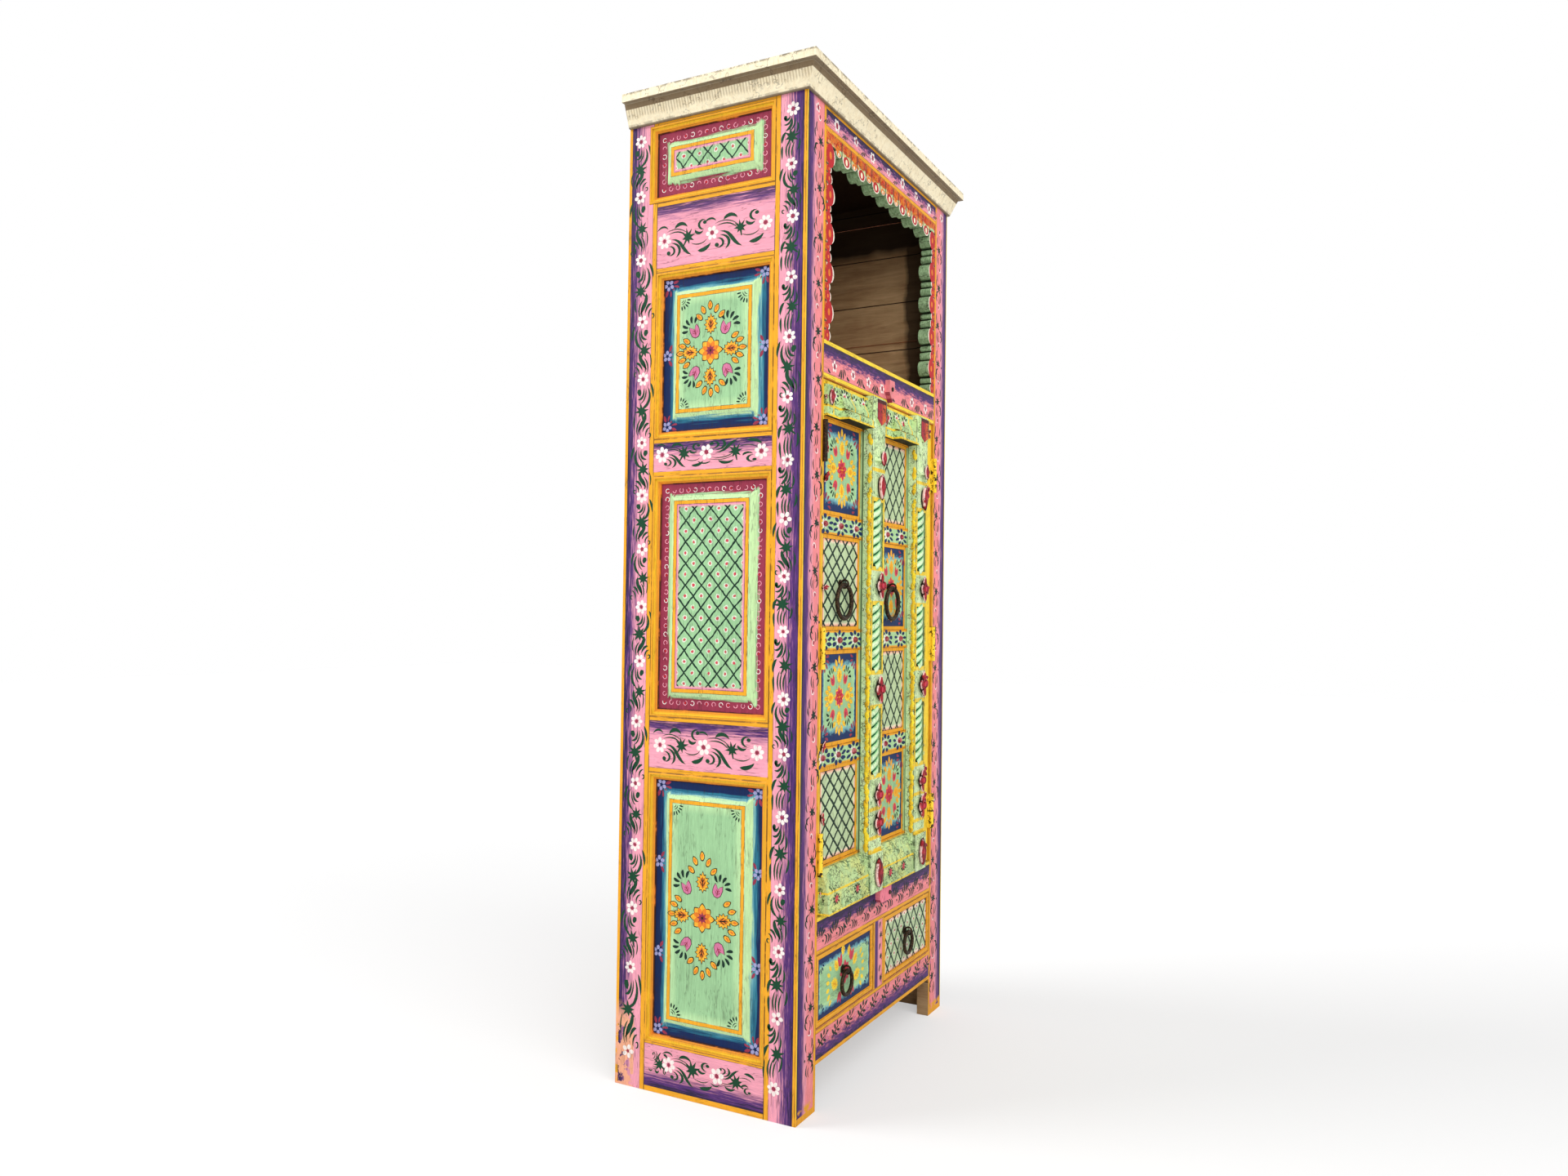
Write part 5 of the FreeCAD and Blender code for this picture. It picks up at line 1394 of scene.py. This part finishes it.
def hoodTone(tree):
    # Carved hood and foot: mint, yellow edges, and painted shade on the faces that look down under the steps
    place = objectPlace(tree)
    across, _, up = split(place)
    lumps = noise(place, 50, 4, 0.65)
    rough = (noise(place, 70, 3) - 0.5) * 4 * mm
    low = up.below(0.5, 0.01)
    foot = mixed(noise(place, 26, 2).above(0.5, 0.1), paint(226, 226, 130), paint(190, 214, 150))
    carving = mixed(low, noise(place, 44, 2, 0.6), noise(stretched(place, (1, 1, 2.2)), 24, 1, 0.4, 1.5))
    cuts = split(carving)[0].near(0.48, 0.011, 0.01)
    tone = layered(
        mixed(lumps.above(0.62, 0.2) * 0.3, "doorMint", "yellowGreen"), (low * 0.6, foot),
        (cuts * 0.85, paint(58, 88, 52)), (lumps.below(0.42, 0.06) * 0.5, paint(112, 158, 108)))
    for middle in carvingSettings["hoodBars"]:
        bar = (across + rough * 0.4).near(middle * mm, 2.6 * mm, 1.2 * mm) * up.above(1.3, 0.01)
        tone = mixed(bar, tone, "yellow")
    for level, wide in ((1337.5, 2.6), (1356, 2.2), (1400, 3), (369.5, 2), (410, 2)):
        tone = mixed((up + rough).near(level * mm, wide * mm, 1.2 * mm), tone, "yellow")
    # Painted shade on the faces that look down
    return mixed(objectNormal(tree)[2].below(-0.5, 0.2), tone, paint(22, 28, 18)), lumps - cuts


archSettings = {"headBand": 24, "jambBand": 9, "headCorner": 40, "headDrop": 20, "jambReach": 32, "notch": 2,
                "niche": (1482, 1892), "half": 300}


def lobes(length, margin, periods, reach, chords, reaches):
    # Middle, width and reach of each lobe along a scalloped edge, as cut
    notch = archSettings["notch"]
    scale = (length - 2 * margin) / periods - notch * len(chords)
    place, found = margin, []
    for _ in range(periods):
        for chord, share in zip(chords, reaches):
            found.append((place + notch / 2 + scale * chord / 2, scale * chord, reach * share))
            place += notch + scale * chord
    return found


def archLobes():
    # Lobes of a jamb, then of the head
    low, high = archSettings["niche"]
    jamb = lobes(high - archSettings["headBand"] - low, 0, 5, archSettings["jambReach"],
                 (0.27, 0.2, 0.53), (0.62, 0.5, 1))
    head = lobes(2 * archSettings["half"], archSettings["headCorner"], 7, archSettings["headDrop"],
                 (0.42, 0.58), (0.55, 1))
    return jamb, head


def archTone(tree):
    # White lobe faces, an orange band next to the frame, green through the thickness, and painted shade in the
    # notches between the lobes
    place = objectPlace(tree)
    across, _, up = split(place)
    streak = noise(stretched(place, (30, 60, 30)), 4, 4, 0.7)
    rough = (noise(place, 90, 3) - 0.5) * 5 * mm
    edge = across.size().above(rough + 293 * mm, 2 * mm).high(up.above(rough + 1876 * mm, 3 * mm))
    face = layered(
        mixed(streak.above(0.5, 0.4), "white", "cream"),
        (up.above(1866 * mm, 3 * mm), mixed(noise(place, 40, 2).above(0.5, 0.2), "orange", "paleMint")),
        (edge, mixed(streak.above(0.5, 0.2), "orange", "red")))
    side = mixed(streak.above(0.5, 0.3), paint(178, 208, 160), paint(120, 150, 106))
    tone = mixed(objectNormal(tree)[1].below(-0.5, 0.2), side, face)
    jamb, head = archLobes()
    inHead = across.size().below(257 * mm, 2 * mm)
    for along, start, found, mask in ((up, archSettings["niche"][0], jamb, inHead.flipped()),
                                      (across, -archSettings["half"], head, inHead)):
        # Painted shade: dark lines at the notches between the lobes
        lines = strongest(along.near((start + middle + wide / 2 + 1) * mm, 2 * mm, 1.4 * mm)
                          for middle, wide, _ in found)
        tone = mixed(lines * mask * 0.85, tone, paint(34, 52, 34))
    return tone


coats["carvedRed"] = brushedMaterial("carvedRed", carvedTone, (30, 30, 30), None, 0.6, 0.8, Wear=0.25,
                                     Streak=0.3, Age=0.4)
coats["beadYellow"] = lumpyPaint("beadYellow", paint(252, 226, 60), paint(238, 186, 44))
coats["bossRed"] = lumpyPaint("bossRed", paint(136, 34, 48), paint(206, 120, 122), 90)
assignBoth(brushedMaterial("pilasterPaint", pilasterTone, (30, 30, 20), None, 0.7, 1, Wear=0.4, Streak=0.3,
                           Age=0.5), "door_pilaster")
assignBoth(brushedMaterial("hoodPaint", hoodTone, (30, 30, 30), None, 0.8, 1.2, Wear=0.4, Streak=0.3, Age=0.6),
           "door_header", "door_plinth")
ropePaint = brushedMaterial("ropePaint", ropeHighlightAndShade, (40, 40, 25), None, 0.6, 0.8, Wear=0.25, Streak=0.25,
                            Age=0.3)
assign(brushedMaterial("archScallopPaint", archTone, (40, 8, 40), None, 0.7, 0.8, Wear=0.3, Streak=0.3,
                       Age=0.4), "arch_head", "arch_left_jamb", "arch_right_jamb")


def makeTwistRope():
    # Geometry Nodes: three strands wound into a flattened rope, one at each point
    tree, sockets, given, end = geometryTree("twistRope", (
        ("Points", "Geometry"), ("Length", "Float"), ("Turns", "Float"), ("TurnRadius", "Float"),
        ("StrandRadius", "Float"), ("Flatten", "Float"), ("Paint", "Material")))
    spiral = add(tree, "GeometryNodeCurveSpiral", {
        "Resolution": 18, "Reverse": True, "Rotations": given["Turns"], "Start Radius": given["TurnRadius"],
        "End Radius": given["TurnRadius"], "Height": given["Length"]})
    profile = add(tree, "GeometryNodeCurvePrimitiveCircle", {"Resolution": 9, "Radius": given["StrandRadius"]})
    skin = add(tree, "GeometryNodeCurveToMesh", {0: spiral, 1: profile, "Fill Caps": True})
    together = tree.nodes.new("GeometryNodeJoinGeometry")
    for third in range(3):
        feed(tree, together.inputs[0], add(tree, "GeometryNodeTransform", {
            0: skin, "Rotation": (0, 0, math.radians(120 * third))}))
    shape = add(tree, "ShaderNodeCombineXYZ", {"X": 1, "Y": given["Flatten"], "Z": 1})
    flat = add(tree, "GeometryNodeTransform", {0: Wire(tree, together.outputs[0]), "Scale": shape})
    placed = add(tree, "GeometryNodeInstanceOnPoints", {
        "Points": given["Points"], "Instance": add(tree, "GeometryNodeSetShadeSmooth", {0: flat})})
    finishTree(tree, end, placed, given["Paint"])
    return tree, sockets


twistRope, ropeSockets = makeTwistRope()


def makeRopes(side):
    mesh = bpy.data.meshes.new("ropeFeet")
    centre, floor = carvingSettings[side + "Pilaster"], carvingSettings["front"] + 10
    inset, ropes = carvingSettings["strandRadius"], carvingSettings["ropes"]
    mesh.from_pydata([(centre * mm, floor * mm, (low - inset * 0.2) * mm) for low, _ in ropes], [], [])
    low, high = ropes[0]
    result = treeResult(bpy.data.objects.new("ropeFeet", mesh), twistRope, ropeSockets, {
        "Length": (high - low + inset * 0.4) * mm, "Turns": carvingSettings["turns"],
        "TurnRadius": carvingSettings["turnRadius"] * mm, "StrandRadius": inset * mm,
        "Flatten": carvingSettings["flatten"], "Paint": ropePaint})
    return joined(side + "_door_ropes", [result], side + "_door")


def plane(depth):
    # A plane that looks to the room, depth millimetres from the middle of the case
    return Face((0, depth * mm, 0), (1, 0, 0))


# Faces of the leaves and drawers that carry paint or carving
railFace, hoodFace, footFace = plane(-184.5), plane(-192.5), plane(-206.2)
doorPanelFace, drawerFace = plane(-181.5), plane(-186.5)
pilasterFace = plane(carvingSettings["front"])


def carveDoor(side):
    painting = Painting(side + "_door_carving", side + "_door", 3)
    edge = carvingSettings[side + "Pilaster"] - carvingSettings["halfWidth"]
    flank = Face((edge * mm, 0, 0), (0, -1, 0))
    level, number = carvingSettings["beadLow"], 0
    while level < carvingSettings["beadHigh"]:
        painting.dab("flameBeadTwin" if number % 2 else "flameBead", "beadYellow", flank,
                     -carvingSettings["front"] - 6, level, 9 * math.sin(number * 1.3), 0.86,
                     1 + 0.12 * math.sin(number * 2.1), lift=-0.3)
        pitch = carvingSettings["beadPitch" if level < carvingSettings["topPitchLow"] else "topPitch"]
        level += pitch * (0.95 + 0.12 * math.sin(number * 1.7))
        number += 1
    return painting.lay()


def carveRosettes(side):
    painting = Painting(side + "_door_flowers", side + "_door", 9)
    carve = partial(painting.dab, colour="carvedRed")
    centre = carvingSettings[side + "Pilaster"]
    for level in carvingSettings["rosettes"]:
        carve("flareFour", face=pilasterFace, x=centre + 4, y=level, size=0.72, tall=0.96)
    for motif, shift, level, turn, wide, tall, lift in carvingSettings["petals"]:
        carve(motif, face=pilasterFace, x=centre + shift, y=level, turn=turn, size=wide, tall=tall, lift=lift)
    x, wide, tall, levels = carvingSettings[side + "Petals"]
    for level in levels:
        carve("flareFive", face=railFace, x=x, y=level, turn=level, size=wide, tall=tall)
    for x, wide in carvingSettings[side + "Hood"]:
        carve("lowPetal", face=hoodFace, x=x, y=carvingSettings["hoodLevel"], size=wide)
    piece = painting.lay()
    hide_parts(side + "_door_rosettes")
    return piece


for side in ("left", "right"):
    makeRopes(side)
    carveDoor(side)
    carveRosettes(side)
print("doors carved")


# Painted flowers of the doors and drawers
def paintDoor(side):
    painting = Painting(side + "_door_flower_painting", side + "_door", 21)
    left, right = doorSettings[side + "Column"]
    middle = (left + right) / 2
    for number in doorSettings[side + "Blue"]:
        centre = sum(doorSettings["zones"][number]) / 2
        medallion(painting, doorPanelFace, middle, centre, "yellow" if side == "left" else "blossom", "ochre",
                  "crimson", "ochre", 0.84, 1.02)
        painting.dab("eightPetals", "crimson", doorPanelFace, middle, centre, 10, 0.8, lift=0.25)
        painting.dab("bossPetals", "red", doorPanelFace, middle, centre, 30, 1, lift=0.35)
        for dx in (-1, 1):
            for dy in (-1, 1):
                turn = math.degrees(math.atan2(-dy, -dx)) - 90
                painting.dab("fanOfFive", "maroon", doorPanelFace, middle + dx * (right - left) * 0.41,
                             centre + dy * 76, turn, 1.1, lift=0.05)
    for level in doorSettings["railLevels"]:
        for x in doorSettings[side + "Bursts"]:
            for dx in (-1.6, 1.6):
                painting.dab("burst", "navy", railFace, x + dx, level, 0, 1.7, 0.98)
            painting.dab("bossPetals", "white", railFace, x - 3, level, 0, 1.25, 0.9, lift=0.1)
            painting.dab("boss", "bossRed", railFace, x, level, 0, 1.1, 0.82)
    for number, x in enumerate(range(int(left) + 30, int(right) - 6, 46)):
        y = doorSettings["hoodLevel"] + 4 * (number % 2)
        painting.dab("burst", "inkGreen", hoodFace, x, y, 0, 1, 0.8)
        painting.dab("bossPetals", "white", hoodFace, x, y, 15 * number, 1, 0.9, lift=0.1)
        painting.dab("dot", "crimson", hoodFace, x, y, 0, 1.2, 1, lift=0.2)
    for x in doorSettings[side + "Feet"]:
        painting.dab("burst", "inkGreen", footFace, x, doorSettings["footLevel"], 0, 0.8, 0.6)
        painting.dab("bossPetals", "crimson", footFace, x, doorSettings["footLevel"], 30, 0.7, lift=0.1)
    return painting.lay()


def paintLeftDrawer():
    painting = Painting("left_drawer_flower_painting", "left_drawer", 27)
    middle, heart = drawerSettings["middle"], drawerSettings["heart"]
    for dx in (-1, 1):
        for x, y, turn, size in drawerSettings["blossoms"]:
            for motif, colour, lift in (("blossom", "yellow", 0.1), ("veins", "ochre", 0.2)):
                painting.dab(motif, colour, drawerFace, middle + dx * x, y - dx * 4, -dx * turn, size,
                             lift=lift)
        for x, y, turn, size in ((27, 256, -dx * 14, 0.9), (30, 184, 180 + dx * 14, 0.8)):
            painting.dab("tulip", "crimson", drawerFace, middle + dx * x, y, turn, size, lift=0.1)
        for number in range(6):
            angle = math.radians(-50 + 20 * number)
            painting.dab("teardrop", "yellow", drawerFace, middle + dx * (52 + 32 * math.cos(angle)),
                         218 + 44 * math.sin(angle), -dx * (90 - math.degrees(angle)), 0.9, lift=0.1)
        for dy in (-1, 1):
            painting.dab("fanOfFive", "navy", drawerFace, heart[0] + dx * 112, 223.5 + dy * 46,
                         math.degrees(math.atan2(-dy, -dx)) - 90, 0.8)
    painting.dab("eightPetals", "crimson", drawerFace, *heart, 0, 0.9, lift=0.1)
    painting.dab("bossPetals", "red", drawerFace, *heart, 0, 1.2, lift=0.2)
    return painting.lay()


for side in ("left", "right"):
    paintDoor(side)
paintLeftDrawer()
print("doors and drawers painted")


# Vines on the front of the case
frontSpray = [
    stroke(2.4, (9, -12), (13, -18), (12, -26), (8, -32)),
    stroke(2, (-9, -16), (-12, -22), (-11, -30), (-8, -36)),
    stroke(2.2, (14, -26), (18, -32), (16, -40), (12, -45)),
    stroke(3.2, (3, -55), (14, -56), (17, -64), (8, -70)),
    stroke(2.8, (10, -61), (18, -67), (17, -76), (9, -82)),
    stroke(2, (-5, -60), (-10, -68), (-9, -78), (-4, -84)),
    egg(-13, -50, 4, 5.5), stroke(1.8, (1, -66), (-3, -72), (-2, -80), (2, -86)),
]
motifs["frontSpray"] = makeMotif("frontSpray", frontSpray)
motifs["frontSprayTwin"] = makeMotif("frontSprayTwin", [[(-x, y - 1) for x, y in part] for part in frontSpray])
front = Face((0, frontPlane, 0), (1, 0, 0))


def smallFlower(painting, x, y, size, number, lift=0):
    painting.dab("daisySix" if number % 2 else "daisyFive", "white", front, x, y, 31 * number, size * 0.9, size,
                 lift=lift)
    painting.dab("dot", "maroon", front, x, y, 0, size * 1.25, size * 1.5, lift=lift + 0.1)


frontSettings = {
    "stile": 329, "stileTop": 1905, "stilePitch": 92, "stileEnd": 70, "rightShift": 23,
    "topLevel": 1919, "topFlowers": (-337.5, -253.5, -162.5, -77.5, 10, 90, 172.5, 256.5, 340),
    "midLevel": 1437, "midFlowers": (-251.5, -164, -86, -14, 75, 159, 245),
    "lowLevel": 332, "apronLevel": 124, "lowStart": -278, "lowPitch": 62,
}


def paintFront():
    painting = Painting("front_vines", "case", 41)
    dab, given = painting.dab, frontSettings
    for hand, shift in ((-1, 0), (1, given["rightShift"])):
        for number in range(20):
            level = given["stileTop"] - shift - given["stilePitch"] * number
            x = hand * (given["stile"] + 3 * math.sin(number * 2.3))
            if level > given["stileEnd"]:
                dab("crescent", "white", front, x, level, 60 * number, 1.15, 1.5)
                dab("dot", "maroon", front, x, level, 0, 0.62, 0.85, lift=0.05)
                spray = "frontSpray" if (number + (hand > 0)) % 2 else "frontSprayTwin"
                dab(spray, "inkGreen", front, x, level, 0, 1.25, 1)
                dab("leaf", "inkGreen", front, x - hand * 4, level - given["stilePitch"] / 2, 25 * number, 1.1)
    top = given["topLevel"]
    for number, x in enumerate(given["topFlowers"]):
        smallFlower(painting, x, top + 2 * math.sin(x), 0.85 if number % 2 else 0.7, number)
        if x < 300:
            dab("tuft", "inkGreen", front, x + 34, top - 11, 12, 1.1, 0.5)
            dab("hooks", "tulip", front, x + 48, top - 5, 80, 0.7, 0.9)
    # Nothing stands proud where the upper turn-button sweeps
    middle = given["midLevel"]
    for number, x in enumerate(given["midFlowers"]):
        if x != 75:
            smallFlower(painting, x, middle, 0.8, number, -0.06 if -20 < x < 80 else 0)
        if x != -14:
            dab("tuft", "inkGreen", front, x + 30, middle - 7, 8 - 5 * (number % 3), 1.3, 1.05)
        dab("comma", "inkGreen", front, x - 24, middle - 13, 70, 1, 0.9)
    low, apron = given["lowLevel"], given["apronLevel"]
    for number in range(10):
        x = given["lowStart"] + number * given["lowPitch"]
        dab("tuft", "inkGreen", front, x, low, 170 + 14 * (number % 3), 1.6, 1.2)
        dab("hooks", "inkGreen", front, x + 20, low - 14, -8, 1.6, 1.2)
        dab("dot", "maroon", front, x + 34, low - 14, 0, 0.4, 0.55)
        dab("sprig", "inkGreen", front, x + 4, apron, 8 * (number % 3), 1.75, 1.4)
        dab("crescent", "pink", front, x + 34, apron + 8, 50 * number, 1.2, 1.3)
        dab("hooks", "tulip", front, x + 33, apron, 200, 0.7)
    for number in range(3):
        dab("leaf", "inkGreen", front, 12, 168 + 46 * number, 30 * number, 0.7)
        dab("comma", "inkGreen", front, 6, 190 + 46 * number, -20, 0.9)
    return painting.lay()


paintFront()
print("front painted")


def paintArch():
    painting = Painting("arch_petals", "case", 51)
    half, (low, high) = archSettings["half"], archSettings["niche"]
    jamb = archSettings["jambBand"]
    jambLobes, headLobes = archLobes()
    for along, wide, reach in jambLobes:
        for hand in (-1, 1):
            x = hand * (half - jamb - reach * 0.42)
            for colour, share, lift in (("red", 1.06, 0), ("orange", 0.34, 0.1)):
                painting.dab("petalDab", colour, front, x + hand * 3, low + along, 0, reach * 0.122 * share,
                             wide * 0.114 * share, lift=lift)
    for number, (along, wide, reach) in enumerate(headLobes):
        x, y = -half + along, high - archSettings["headBand"] - reach * 0.35
        painting.dab("petalDab", "red" if number % 2 else "orange", front, x, y, 0, wide * 0.085, reach * 0.1)
        painting.dab("petalDab", "cream", front, x, y - 1, 0, wide * 0.03, reach * 0.06, lift=0.1)
        painting.dab("lotusRelief", "carvedOrange", front, x, high - 12, 0, 1.05, 0.8)
        for dx in (-11, 11):
            painting.dab("petalDab", "red", front, x + dx, high - 15, dx * 2, 0.4, 0.9, lift=0.1)
    return painting.lay()


motifs["petalDab"] = makeMotif("petalDab", [egg(0, 0, 8, 10, 0, 12)])
coats["carvedOrange"] = lumpyPaint("carvedOrange", "orange", "red", 70)
paintArch()
print("arch painted")


# Studio, seen from where the photo was taken
studio = {
    "ambient": 0.5, "floorGlow": 0.45, "floorReach": 14, "floorLevel": -0.0005,
    "suns": (("sideSun", (57, 0, -150), 1.75, 30), ("frontSun", (55, 0, -38), 1.85, 60)),
    "lens": 26.10, "sensor": 36, "seat": (-2.2672, -1.1598, 0.9419),
    "right": (0.47102, -0.88203, 0.01291), "up": (-0.02841, -0.00054, 0.9996),
    "away": (-0.88167, -0.4712, -0.02531),
}


def isRay(tree, kind):
    return add(tree, "ShaderNodeLightPath", {}, "Is " + kind + " Ray")


def makeStudio():
    scene = bpy.context.scene
    scene.view_settings.view_transform = "Standard"
    world = bpy.data.worlds.new("paleRoom")
    scene.world = world
    world.use_nodes = True
    tree = world.node_tree
    back = tree.nodes["Background"]
    seen = isRay(tree, "Camera").high(isRay(tree, "Glossy")).high(isRay(tree, "Transmission"))
    feed(tree, back.inputs["Color"], (1, 1, 1, 1))
    feed(tree, back.inputs["Strength"], seen * (1 - studio["ambient"]) + studio["ambient"])

    floorMesh = bpy.data.meshes.new("paleFloor")
    reach, level = studio["floorReach"], studio["floorLevel"]
    floorMesh.from_pydata([(x * reach, y * reach, level) for x, y in ((-1, -1), (1, -1), (1, 1), (-1, 1))], [],
                          [(0, 1, 2, 3)])
    floor = bpy.data.objects.new("paleFloor", floorMesh)
    scene.collection.objects.link(floor)
    material, tree, shader = newMaterial("paleFloor")
    camera = isRay(tree, "Camera")
    for name, value in (("Roughness", 0.9), ("Specular IOR Level", 0.1), ("Emission Color", (1, 1, 1, 1)),
                        ("Emission Strength", camera * studio["floorGlow"]),
                        ("Base Color", mixed(camera, (0.9, 0.9, 0.9, 1), (0.5, 0.5, 0.5, 1)))):
        feed(tree, shader.inputs[name], value)
    floorMesh.materials.append(material)

    for name, turn, energy, size in studio["suns"]:
        light = bpy.data.lights.new(name, "SUN")
        light.energy = energy
        light.angle = math.radians(size)
        lamp = bpy.data.objects.new(name, light)
        lamp.rotation_euler = [math.radians(value) for value in turn]
        scene.collection.objects.link(lamp)

    camera = bpy.data.cameras.new("photoCamera")
    camera.lens = studio["lens"]
    camera.sensor_width = studio["sensor"]
    camera.clip_end = 100
    seat = bpy.data.objects.new("photoCamera", camera)
    place = Matrix([[studio[axis][i] for axis in ("right", "up", "away")] for i in range(3)]).to_4x4()
    place.translation = studio["seat"]
    seat.matrix_world = place
    scene.collection.objects.link(seat)
    scene.camera = seat


makeStudio()
print("studio set")
